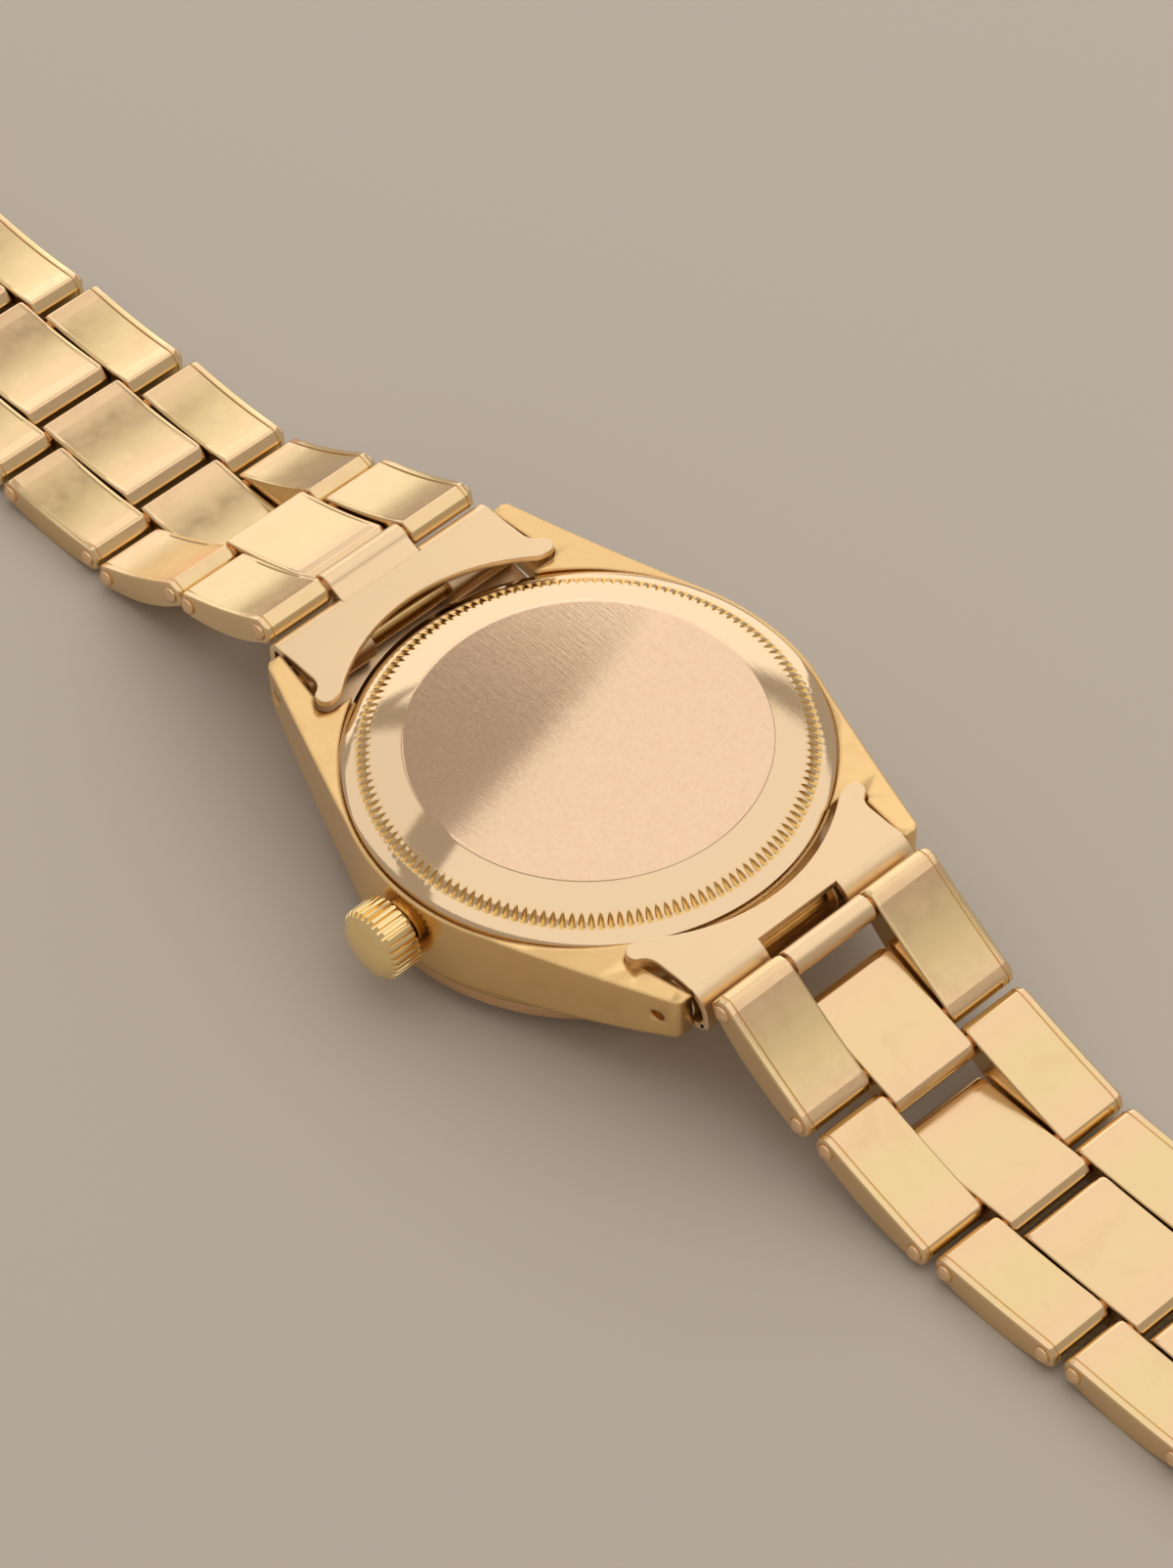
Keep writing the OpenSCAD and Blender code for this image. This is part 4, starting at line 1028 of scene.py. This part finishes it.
@dataclass
class Strap:
    """One half of the bracelet: five rows of outer links with a centre link each. Lengths in mm."""

    plan: StrapPlan
    finishes: Finishes
    half_first: float = 9.5
    taper: float = 0.275
    centre_half: float = 3.6
    column_gap: float = 0.15
    centre_gap: float = 0.5
    short_flap_gap: float = 1.7
    side_plate: float = 0.5

    def half(self, row: int) -> float:
        """Half of the strap's width at a row."""
        return self.half_first - self.taper * (row - 1)

    def relief(self) -> tuple[float, float, float]:
        """Dish, field step and facet of the links: hollow on the 12 o'clock side, nearly flat at 6."""
        return (0.28, 0.05, 0.75) if self.plan.side is Side.TWELVE else (0.1, 0.0, 0.15)

    def flap_len(self, row: int) -> float:
        """Length of the flap of a row's centre link: shorter in the first row of the 6 o'clock side.

        Args:
            row: Row number, counted from the case.

        Returns:
            The length.
        """
        short = self.plan.side is Side.SIX and row == 1
        gap = self.short_flap_gap if short else self.centre_gap
        return self.plan.pin_span - 2 * FoldedLink.roll_r - gap

    def node(self, kind: str, row: int) -> str:
        """Name of a node of this half, such as outer_links_12_1."""
        return f"{kind}_{self.plan.side.value}_{row}"

    def build(self) -> None:
        """Builds all rows."""
        for row in range(1, ROWS + 1):
            self.outer_links(row)
            self.centre_link(row)
            self.rivets(row)

    def outer_links(self, row: int) -> None:
        """Builds the pair of outer links of a row.

        Args:
            row: Row number, counted from the case.
        """
        placed = self.plan.place(self.plan.upper_pin(row), self.plan.outer_slope(row))
        link = FoldedLink(0, self.plan.pin_span, self.centre_half + self.column_gap, self.half(row),
                          self.side_plate, *self.relief())
        whole = join([link.build(placed), link.build(placed, mirrored=True)])
        link.tint_ends(whole, placed)
        self.hand_over(whole, "folded", self.node("outer_links", row), "strap")

    def centre_link(self, row: int) -> None:
        """Builds the centre link of a row.

        Args:
            row: Row number, counted from the case.
        """
        placed = self.plan.place(self.plan.lower_pin(row), self.plan.centre_slope(row))
        link = FoldedLink(-self.flap_len(row), self.plan.link_step, -self.centre_half, self.centre_half,
                          0.0, *self.relief())
        whole = link.build(placed)
        link.tint_ends(whole, placed)
        self.hand_over(whole, "folded", self.node("centre_link", row), "centre")

    def rivets(self, row: int) -> None:
        """Builds the two rivets of a row.

        Args:
            row: Row number, counted from the case.
        """
        placed = self.plan.place(self.plan.upper_pin(row), self.plan.outer_slope(row))
        rivet = Rivet(self.half(row))
        whole = join([rivet.build(placed, 0.0), rivet.build(placed, self.plan.pin_span)])
        self.hand_over(whole, "domed", self.node("rivets", row), "rivet", body=self.node("outer_links", row))

    def hand_over(self, mesh: bmesh.types.BMesh, made: str, node: str, finish: str,
                  body: str | None = None) -> None:
        """Puts a finished mesh in the place of a node.

        Args:
            mesh: The mesh, which is freed.
            made: First word of the piece's name: how it was made.
            node: The node that it replaces.
            finish: Name of its finish.
            body: The body that it rides on, or none for the one that is named like the node.
        """
        piece = to_object(mesh, f"{made}_{node}", self.finishes.get(finish))
        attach(piece, body or node)
        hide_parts(node)
        log.info("built %s", piece.name)


@dataclass
class EndLink:
    """The folded sheet between the lugs, with the tongue rolled round the first rivet. Lengths in mm.

    The sheet is bent to a C: the back plate, a bend at its nose and a front plate that follows the lugs.
    On the 12 o'clock side the bend is a soft roll, and on the 6 o'clock side it starts with a crease.
    """

    plan: StrapPlan
    finishes: Finishes
    back_z: float = 10.5
    lug_tip_y: float = 20.5
    nose_y: float = 21.85
    front_z: float = 3.3
    front_bow_r: float = 58.0
    front_edge_r: float = 17.3
    sheet: float = 0.55
    sheet_break: float = 0.05
    sheet_round: float = 0.12
    web_run: float = 2.6
    edge_r: float = 18.2
    edge_flare: float = 0.75
    tip_half: float = 9.63
    # The flank from the tip to the ear: how far it stands out past tip_half, and where along the strap
    flank: tuple[Point, ...] = ((0.0, 19.0), (0.02, 18.0), (0.03, 17.3), (0.06, 16.98), (0.15, 16.68),
                                (0.3, 16.4))
    ear: Point = (10.0, 15.45)
    ear_r: float = 0.73
    slot_half: float = 3.55
    roll_r: float = 1.0
    bar: Point = (19.0, 8.2)
    tube_r: float = 1.4
    tube_hole_r: float = 0.9

    def bend(self) -> tuple[float, float]:
        """Where the plate starts to bend down, and its slope there in degrees."""
        return (20.95, 0.0) if self.plan.side is Side.TWELVE else (20.3, 20.0)

    def concave_edge(self, x: float) -> Point:
        """A point of the edge that goes round the case back, a little wider at the ears."""
        radius = self.edge_r - self.edge_flare * (x / (self.ear[0] - 1)) ** 2
        return x, math.sqrt(radius * radius - x * x)

    def plate_half(self, notch_y: float) -> Outline:
        """Outline of the +X half of the flat plate, from the notch round the ear to the middle.

        Args:
            notch_y: Where the middle of the plate ends.

        Returns:
            The points, clockwise.
        """
        ear_x, ear_y = self.ear
        bend_y = self.bend()[0]
        half = [(self.slot_half, notch_y), (self.slot_half, bend_y), (self.tip_half, bend_y)]
        half += [(self.tip_half + out, y) for out, y in self.flank]
        for degrees in range(72, -108, -18):
            angle = math.radians(degrees)
            half.append((ear_x + self.ear_r * math.cos(angle), ear_y + self.ear_r * math.sin(angle)))
        half.append((ear_x - 0.7, ear_y - self.ear_r + 0.1))
        half += [self.concave_edge((ear_x - 1) * (1 - k / 10)) for k in range(10)]
        return half

    def through_sheet(self, low: float, high: float) -> Outline:
        """Steps from the inside of the sheet to its outside, each with how far the outline is moved in."""
        small, large = self.sheet_break, self.sheet_round
        return [(low, small), (low + small, 0.0), (high - large, 0.0), (high - large / 3, large / 4),
                (high, large)]

    def plate(self, notch_y: float) -> bmesh.types.BMesh:
        """Builds the flat plate with its two ears and its concave edge.

        Args:
            notch_y: Where the middle of the plate ends.

        Returns:
            The mesh.
        """
        placed = self.plan.to_row_frame()
        half = self.plate_half(notch_y)
        outline = [(-x, y) for x, y in half] + [self.concave_edge(0)] + list(reversed(half))
        rings = []
        for z, narrow in self.through_sheet(self.back_z - self.sheet, self.back_z):
            ring = inset_from(outline, narrow, 1, self.bend()[0])
            rings.append([placed @ Vector((x, y, z)) for x, y in ring])
        return loft(rings)

    def fold(self, turn: int) -> bmesh.types.BMesh:
        """Builds the bent part beside the notch, from the plate down to the front.

        Args:
            turn: 1 for the +X side, -1 for the other.

        Returns:
            The mesh.
        """
        bend_y, slope_degrees = self.bend()
        slope = math.radians(slope_degrees)
        fold_r = (self.nose_y - bend_y) / (1 - math.sin(slope))
        at = Vector((self.nose_y - fold_r, self.back_z - fold_r * math.cos(slope)))
        outside: Outline = []
        inside: Outline = []
        for k in range(13):
            angle = (math.pi / 2 - slope) * (1 - k / 12)
            outside.append((at.x + fold_r * math.cos(angle), at.y + fold_r * math.sin(angle)))
            inner_r = fold_r - self.sheet
            inside.append((at.x + inner_r * math.cos(angle), at.y + inner_r * math.sin(angle)))
        end_z = self.front(self.nose_y)
        outside += [(self.nose_y, end_z + 0.3), (self.nose_y - 0.1, end_z + 0.06),
                    (self.nose_y - 0.35, end_z - 0.04), (self.nose_y - 0.8, self.front(self.nose_y - 0.8))]
        inside += [(self.nose_y - self.sheet, end_z + 0.75), (self.nose_y - 0.8, end_z + 0.45)]
        section = list(reversed(outside)) + inside
        return loft_across(self.plan.to_row_frame(),
                           [(turn * x, inset_from(section, narrow, 0, bend_y))
                            for x, narrow in self.through_sheet(self.slot_half, self.tip_half)])

    def front_plate(self) -> bmesh.types.BMesh:
        """Builds the front plate, which follows the lugs and goes round the case.

        Returns:
            The mesh.
        """
        sections = []
        for k in range(25):
            x = self.tip_half * (-1 + k / 12)
            y0 = max(math.sqrt(self.front_edge_r ** 2 - x * x), self.ear[1])
            run = [y0 + (self.nose_y - 0.4 - y0) * t / 6 for t in range(7)]
            outside = [(y, self.front(y)) for y in run]
            sections.append((x, outside + [(y, z + self.sheet) for y, z in reversed(outside)]))
        return loft_across(self.plan.to_row_frame(), sections)

    def front(self, y: float) -> float:
        """Height of the front plate, which follows the bowed fronts of the lugs."""
        return self.front_z + y * y / (2 * self.front_bow_r)

    def strip(self, outline: Outline, half: float) -> bmesh.types.BMesh:
        """Extrudes an outline across the middle of the strap, with eased edges.

        Args:
            outline: Points as (y, z), counter-clockwise.
            half: Half of its width.

        Returns:
            The mesh.
        """
        ease = 0.06
        steps = ((-half, ease), (-half + ease, 0.0), (half - ease, 0.0), (half, ease))
        return loft_across(self.plan.to_row_frame(), [(x, inset(outline, narrow)) for x, narrow in steps])

    def tube(self, x0: float, x1: float) -> bmesh.types.BMesh:
        """Turns the tube that the spring bar runs in.

        Args:
            x0: One end.
            x1: The other end.

        Returns:
            The mesh.
        """
        ease = 0.08
        lathe = ((self.tube_hole_r, x0), (self.tube_r - ease, x0), (self.tube_r, x0 + ease),
                 (self.tube_r, x1 - ease), (self.tube_r - ease, x1), (self.tube_hole_r, x1))
        return loft_across(self.plan.to_row_frame(), [(x, circle(self.bar, r, 32)) for r, x in lathe])

    def tongue(self) -> list[bmesh.types.BMesh]:
        """Builds the tongue: a web out of the front plate, and the roll round the first rivet.

        Returns:
            Its meshes.
        """
        pin, r = self.plan.upper_pin(1), self.roll_r
        root_y = self.nose_y - self.web_run
        root_z, end_z = self.front(root_y), self.front(self.nose_y)
        web = rounded([(root_y, root_z, 0.05), (self.nose_y, end_z, 0.3),
                       (pin.x + 0.34 * r, pin.y - 0.9 * r, 0.1), (pin.x - 0.74 * r, pin.y - 0.62 * r, 0.1),
                       (self.nose_y - 1.0, end_z + 0.5, 0.4), (root_y, root_z + 0.5, 0.05)])
        return [self.strip(outline, self.slot_half) for outline in (circle((pin.x, pin.y), r, 40), web)]

    def tab(self) -> bmesh.types.BMesh:
        """Builds the bevelled tab in the notch of the 12 o'clock end link, from the plate to the roll.

        Returns:
            The mesh.
        """
        pin, r = self.plan.upper_pin(1), self.roll_r
        root = self.lug_tip_y + 0.2
        outline = rounded([(root, self.back_z - self.sheet, 0.02), (pin.x - 0.5 * r, pin.y - 0.1, 0.02),
                           (pin.x - 0.6 * r, pin.y + 0.72 * r, 0.1), (root + 0.55, self.back_z - 0.05, 0.2),
                           (root, self.back_z - 0.1, 0.02)])
        return self.strip(outline, self.slot_half - 0.02)

    def build(self) -> None:
        """Builds the end link in the place of its node."""
        twelve = self.plan.side is Side.TWELVE
        notch_y = self.lug_tip_y + (0.5 if twelve else -0.3)
        parts = [self.plate(notch_y), self.fold(1), self.fold(-1), self.front_plate()]
        parts += [self.tube(self.slot_half + 0.02, self.tip_half - 0.1),
                  self.tube(-self.tip_half + 0.1, -self.slot_half - 0.02)]
        parts += self.tongue()
        if twelve:
            parts.append(self.tab())
        node = f"end_link_{self.plan.side.value}"
        piece = to_object(join(parts), f"bent_{node}", self.finishes.get("end_link"), sharp_degrees=25.0)
        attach(piece, "head")
        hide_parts(node)
        log.info("built %s", piece.name)


@dataclass
class CaseBack:
    """The screwed case back, turned, with coin-edge teeth milled round its shoulder. Lengths in mm.

    Attributes:
        finishes: The materials.
        seat_z: Height of its seat in the case.
        disc_h: Height of the disc over the seat.
        ring_in: Where the polished ring starts, at the disc's edge: radius and height over the seat.
        ring_out: Where it ends.
        ring_steps: Radii between the two.
        cut_steps: Radius, half width of a cut and its depth, from a cut's tip outwards.
        cut_foot: Where the shoulder ends: radius and height.
        flange: Radius and height from there over the flange and its seat, down the neck and up inside it.
        teeth: How many teeth there are.
    """

    finishes: Finishes
    seat_z: float = 8.85
    disc_h: float = 2.12
    ring_in: Point = (12.6, 2.04)
    ring_out: Point = (15.01, 1.30)
    ring_steps: tuple[float, ...] = (12.7, 13.1, 13.5, 13.9, 14.3, 14.6)
    cut_steps: tuple[Corner, ...] = ((14.72, 0.006, 0.0), (14.82, 0.075, 0.09), (14.97, 0.14, 0.17),
                                     (15.15, 0.19, 0.22), (15.4, 0.235, 0.17), (15.6, 0.262, 0.06),
                                     (15.7, 0.27, 0.01))
    cut_foot: Point = (15.7, 0.88)
    flange: tuple[Point, ...] = ((15.76, 0.86), (16.1, 0.725), (16.45, 0.57), (16.66, 0.47), (16.74, 0.41),
                                 (16.77, 0.33), (16.77, 0.16), (16.6, 0.13), (16.6, 0.0), (15.25, 0.0),
                                 (15.25, -1.6), (14.45, -1.6), (14.45, 0.2), (13.6, 0.2), (13.6, 0.97))
    teeth: int = 150

    def dome(self, r: float) -> float:
        """Height of the polished ring, a part of a sphere.

        Args:
            r: Radius where it is asked for.

        Returns:
            The height over the seat.
        """
        a, b = Vector(self.ring_in), Vector(self.ring_out)
        centre = (a.dot(a) - b.dot(b)) / (2 * (a.y - b.y))
        return centre + math.sqrt((b - Vector((0, centre))).length_squared - r * r)

    def shoulder(self) -> list[tuple[float, float, float, float]]:
        """Puts the rings of the milled shoulder together.

        Returns:
            Radius, height, half width of a cut and its depth, for each ring.
        """
        foot_r, foot_z = self.cut_foot
        slope = (self.ring_out[1] - foot_z) / (foot_r - self.ring_out[0])
        return [(r, min(self.dome(r), foot_z + (foot_r - r) * slope), half, deep)
                for r, half, deep in self.cut_steps]

    def ring_points(self, r: float, z: float, half: float | None = None, deep: float = 0.0) -> list[Vector]:
        """Points of one ring, five to a tooth.

        Args:
            r: Radius of the ring.
            z: Its height over the seat.
            half: Half width of a cut there, or none where nothing is milled.
            deep: Depth of a cut there.

        Returns:
            The points in metres.
        """
        pitch = 2 * math.pi / self.teeth
        offsets = [pitch * k for k in (-0.5, -0.3, -0.1, 0.1, 0.3)]
        if half is not None:
            offsets = [-pitch / 2] + [k * half / r for k in (-1, -0.4, 0.4, 1)]
        sunk = (0.0, 0.0, deep, deep, 0.0)
        spots = [(i * pitch + offset, low) for i in range(self.teeth) for offset, low in zip(offsets, sunk)]
        return [MM * Vector((r * math.cos(turn), r * math.sin(turn), self.seat_z + z - low))
                for turn, low in spots]

    def build(self) -> None:
        """Turns the case back, mills its teeth and puts it in the place of its node."""
        disc_r = self.ring_in[0]
        smooth = [(disc_r - 0.3, self.disc_h), (disc_r - 0.1, self.disc_h),
                  (disc_r - 0.04, self.disc_h - 0.02), self.ring_in]
        smooth += [(r, self.dome(r)) for r in self.ring_steps]
        rings = [self.ring_points(r, z) for r, z in smooth]
        # How much each of a tooth's five points lies in a cut: where the grit, the rougher surface and the
        # painted darker amber go
        uncut, milled = [0.0] * 5, [0.0, 0.3, 1.0, 1.0, 0.3]
        marks = uncut * self.teeth * len(smooth)
        for r, z, half, deep in self.shoulder():
            rings.append(self.ring_points(r, z, half, deep))
            marks += milled * self.teeth
        rings += [self.ring_points(r, z) for r, z in self.flange]
        marks += uncut * self.teeth * len(self.flange)
        whole = loft(rings)
        mark(whole, CUT, marks)
        piece = to_object(whole, "milled_case_back", self.finishes.get("back"), sharp_degrees=30.0)
        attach(piece, "head")
        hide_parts("case_back")
        log.info("built %s", piece.name)


@dataclass
class Crown:
    """The winding crown: square-edged flutes, a bevelled shoulder and a smooth domed end. Lengths in mm."""

    finishes: Finishes
    face_x: float = -17.65
    axis_z: float = 5.5
    radius: float = 2.7
    wall_len: float = 2.3
    full_len: float = 3.05
    flutes: int = 30
    flute_depth: float = 0.26
    bore_r: float = 1.78
    bore_len: float = 1.6
    # Bevel between the flutes and the dome: radius, and distance from the flutes' end
    bevel: tuple[Point, ...] = ((2.14, 0.31), (2.08, 0.35), (2.0, 0.37))
    dome_steps: tuple[float, ...] = (1.8, 1.5, 1.1, 0.7, 0.3)
    dome_h: float = 0.38

    def plain(self, r: float, along: float) -> list[Vector]:
        """Points of a plain ring, nine to a flute, at a distance along the axis."""
        return self.fluted(r, r, along)

    def fluted(self, ridge_r: float, valley_r: float, along: float) -> list[Vector]:
        """Points of a ring across the flutes, nine to a flute.

        Args:
            ridge_r: Radius at the ridges.
            valley_r: Radius in the valleys.
            along: Distance from the inner face.

        Returns:
            The points in metres.
        """
        pitch = 2 * math.pi / self.flutes
        step = ridge_r - valley_r
        ease = min(0.04, step / 3)
        spots = [(-0.24, ridge_r - ease / 4), (0.0, ridge_r), (0.24, ridge_r - ease / 4),
                 (0.27, ridge_r - ease), (0.29, valley_r + ease), (0.33, valley_r), (0.67, valley_r),
                 (0.71, valley_r + ease), (0.73, ridge_r - ease)]
        return [MM * Vector((self.face_x - along, r * math.cos(pitch * (i + share)),
                             self.axis_z + r * math.sin(pitch * (i + share))))
                for i in range(self.flutes) for share, r in spots]

    def build(self) -> None:
        """Turns and flutes the crown, and puts it in the place of its node."""
        outer, inner = self.radius, self.radius - self.flute_depth
        rings = [self.plain(self.bore_r, self.bore_len), self.plain(self.bore_r, 0.0),
                 self.plain(inner - 0.1, 0.0), self.fluted(outer - 0.06, inner - 0.04, 0.02),
                 self.fluted(outer, inner, 0.08), self.fluted(outer, inner, self.wall_len - 0.26),
                 self.fluted(outer - 0.03, inner, self.wall_len - 0.2),
                 self.fluted(inner + 0.02, inner, self.wall_len + 0.04)]
        rings += [self.plain(r, self.wall_len + along) for r, along in ((inner - 0.03, 0.08), *self.bevel)]
        dome_r = self.bevel[-1][0]
        rings += [self.plain(r, self.full_len - self.dome_h * (r / dome_r) ** 2) for r in self.dome_steps]
        piece = to_object(loft(rings), "fluted_crown", self.finishes.get("crown"), sharp_degrees=30.0)
        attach(piece, "crown")
        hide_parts("crown")
        log.info("built %s", piece.name)


@dataclass
class Head:
    """The pieces of the watch head that keep the model's shape: case, bezel, crystal, tube and gaskets."""

    finishes: Finishes

    def build(self, frame: dict) -> None:
        """Dresses the pieces of the head.
        """
        dress_node(frame, "mid_case", self.finishes.get("case"), edge_mm=0.28,
                   edge=self.finishes.get("case_edge"))
        dress_node(frame, "bezel", self.finishes.get("bezel"), edge_mm=0.1)
        for node, finish in (("crown_tube", "crown"), ("spring_bars", "bar"), ("crystal", "crystal"),
                             ("crystal_gasket", "nylon"), ("case_back_gasket", "rubber")):
            dress_node(frame, node, self.finishes.get(finish))


@dataclass
class Works:
    """Dial, hands and movement, seen through the crystal and where the case is opened."""

    finishes: Finishes

    def build(self, frame: dict) -> None:
        """Dresses the pieces of the works.
        """
        for node in ("mainplate", "train_bridge", "balance_cock", "rotor", "movement_ring"):
            dress_node(frame, node, self.finishes.get("nickel"), edge_mm=0.06)
        for node in ("winding_stem", "setting_lever"):
            dress_node(frame, node, self.finishes.get("steel"))
        for node in ("hour_markers", "hour_hand", "minute_hand", "seconds_hand", "balance_wheel"):
            dress_node(frame, node, self.finishes.get("bezel"), edge_mm=0.03)
        dress_node(frame, "dial", self.finishes.get("dial"))


@dataclass
class Clasp:
    """The folding clasp at the free end of the 12 o'clock half."""

    finishes: Finishes

    def build(self, frame: dict) -> None:
        """Dresses the pieces of the clasp.
        """
        for node in ("clasp_cover", "clasp_inner_blade", "clasp_middle_blade"):
            dress_node(frame, node, self.finishes.get("strap"), edge_mm=0.12)
        dress_node(frame, "clasp_end_pin", self.finishes.get("rivet"))
        dress_node(frame, "clasp_hinge_pins", self.finishes.get("steel"))


# Studio


@dataclass
class SoftLamp:
    """A rectangular soft light. Lengths in metres.

    Attributes:
        name: Name of the lamp.
        centre: Its middle.
        aim: The point it faces.
        size: Width and height.
        radiance: Brightness of its face.
        turn: Turn round its own axis, in degrees.
    """

    name: str
    centre: tuple[float, float, float]
    aim: tuple[float, float, float]
    size: tuple[float, float]
    radiance: float
    turn: float = 0.0

    def build(self) -> None:
        """Adds the lamp to the scene."""
        lamp = bpy.data.lights.new(self.name, "AREA")
        lamp.shape = "RECTANGLE"
        lamp.size, lamp.size_y = self.size
        lamp.energy = self.radiance * math.pi * self.size[0] * self.size[1]
        holder = bpy.data.objects.new(self.name, lamp)
        bpy.context.scene.collection.objects.link(holder)
        look = (Vector(self.aim) - Vector(self.centre)).to_track_quat("-Z", "Y").to_matrix().to_4x4()
        turned = look @ Matrix.Rotation(math.radians(self.turn), 4, "Z")
        holder.matrix_world = Matrix.Translation(self.centre) @ turned


@dataclass
class Studio:
    """Pale floor, soft lamps and the camera at the photograph's angle.

    Angles are in degrees, lengths in metres, and the lens and sensor in mm.
    """

    azimuth: float = -41.442
    elevation: float = 49.389
    roll: float = -1.653
    distance: float = 0.39136
    look_at: tuple[float, float, float] = (0.000482, 0.000842, 0.005)
    lens: float = 131.87
    sensor: float = 36.0
    floor_half: float = 3.0
    # Nine grains of the paper to a centimetre
    floor_grain_mm: float = 10 / 9
    floor_relief_mm: float = 0.1
    floor_colour: str = "#CBC3B7"
    world_colour: str = "#FFF3E8"
    world_strength: float = 0.46
    lamps: list[SoftLamp] = field(default_factory=list)

    def build(self) -> None:
        """Builds the floor, the world, the lamps and the camera."""
        self.floor()
        self.world()
        for lamp in self.lamps:
            lamp.build()
        self.camera()
        bpy.context.scene.view_settings.view_transform = "Standard"

    def floor(self) -> None:
        """Lays the floor."""
        material, tree = blank_material("floor_matt_paper")
        place = add_node(tree, "ShaderNodeTexCoord").outputs["Object"]
        noise = add_node(tree, "ShaderNodeTexNoise", links={"Vector": place},
                         values={"Scale": 1 / (self.floor_grain_mm * MM), "Detail": 3.0})
        bump = add_node(tree, "ShaderNodeBump", links={"Height": noise.outputs["Fac"]},
                        values={"Strength": 0.05, "Distance": self.floor_relief_mm * MM})
        shader = add_node(tree, "ShaderNodeBsdfPrincipled", links={"Normal": bump.outputs["Normal"]},
                          values={"Base Color": linear(self.floor_colour), "Roughness": 0.85,
                                  "Specular IOR Level": 0.2})
        add_node(tree, "ShaderNodeOutputMaterial", links={"Surface": shader.outputs["BSDF"]})
        bm = bmesh.new()
        bmesh.ops.create_grid(bm, x_segments=8, y_segments=8, size=self.floor_half)
        floor = to_object(bm, "floor", material)

    def world(self) -> None:
        """Lights the room evenly."""
        world = bpy.data.worlds.new("studio")
        bpy.context.scene.world = world
        world.use_nodes = True
        tree = world.node_tree
        tree.nodes.clear()
        room = add_node(tree, "ShaderNodeBackground", values={"Color": linear(self.world_colour),
                                                              "Strength": self.world_strength})
        add_node(tree, "ShaderNodeOutputWorld", links={"Surface": room.outputs["Background"]})

    def camera(self) -> None:
        """Sets the camera at the photograph's angle."""
        a, e, r = (math.radians(v) for v in (self.azimuth, self.elevation, self.roll))
        right = Vector((math.cos(a), math.sin(a), 0))
        back = Vector((math.sin(a) * math.cos(e), -math.cos(a) * math.cos(e), math.sin(e)))
        up = back.cross(right)
        turned_right = math.cos(r) * right + math.sin(r) * up
        turned_up = math.cos(r) * up - math.sin(r) * right
        camera = bpy.data.cameras.new("camera")
        camera.sensor_fit = "VERTICAL"
        camera.sensor_height = self.sensor
        camera.lens = self.lens
        camera.clip_start = 0.01
        camera.clip_end = 20.0
        holder = bpy.data.objects.new("camera", camera)
        bpy.context.scene.collection.objects.link(holder)
        turn = Matrix((turned_right, turned_up, back)).transposed().to_4x4()
        holder.matrix_world = Matrix.Translation(Vector(self.look_at) + back * self.distance) @ turn
        bpy.context.scene.camera = holder


def studio_lamps() -> list[SoftLamp]:
    """The soft lamps of the studio.

    Returns:
        Three softboxes over the watch, whose edges show in the case back, and a low one behind it.
    """
    return [
        SoftLamp("overhead_softbox", (0.363, -0.094, 0.6), (0.363, -0.094, 0.0), (1.14, 0.96), 0.6, 12.0),
        SoftLamp("far_softbox", (0.595, 0.749, 0.6), (0.595, 0.749, 0.0), (0.6, 0.6), 0.75, 12.0),
        SoftLamp("left_softbox", (-0.09, 0.74, 0.6), (-0.09, 0.74, 0.0), (0.5, 0.6), 0.5, 12.0),
        SoftLamp("low_softbox", (0.45, 0.6, 0.21), (0.0, 0.0, 0.03), (1.0, 0.42), 0.8),
    ]


def corners(box: tuple[Vector, Vector]) -> list[list[float]]:
    """Turns a box to plain lists of numbers."""
    return [[float(v) for v in corner] for corner in box]


def main() -> None:
    """Builds the whole scene."""
    logging.basicConfig(level=logging.INFO, format="%(name)s: %(message)s")
    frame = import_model()
    finishes = Finishes()
    Head(finishes).build(frame)
    CaseBack(finishes).build()
    Crown(finishes).build()
    Works(finishes).build(frame)
    for plan in (StrapPlan(Side.TWELVE, first_outer_slope=25, first_centre_slope=20),
                 StrapPlan(Side.SIX, first_outer_slope=36, first_centre_slope=20)):
        EndLink(plan, finishes).build()
        Strap(plan, finishes).build()
    Clasp(finishes).build(frame)
    Studio(lamps=studio_lamps()).build()


if __name__ == "__main__":
    main()
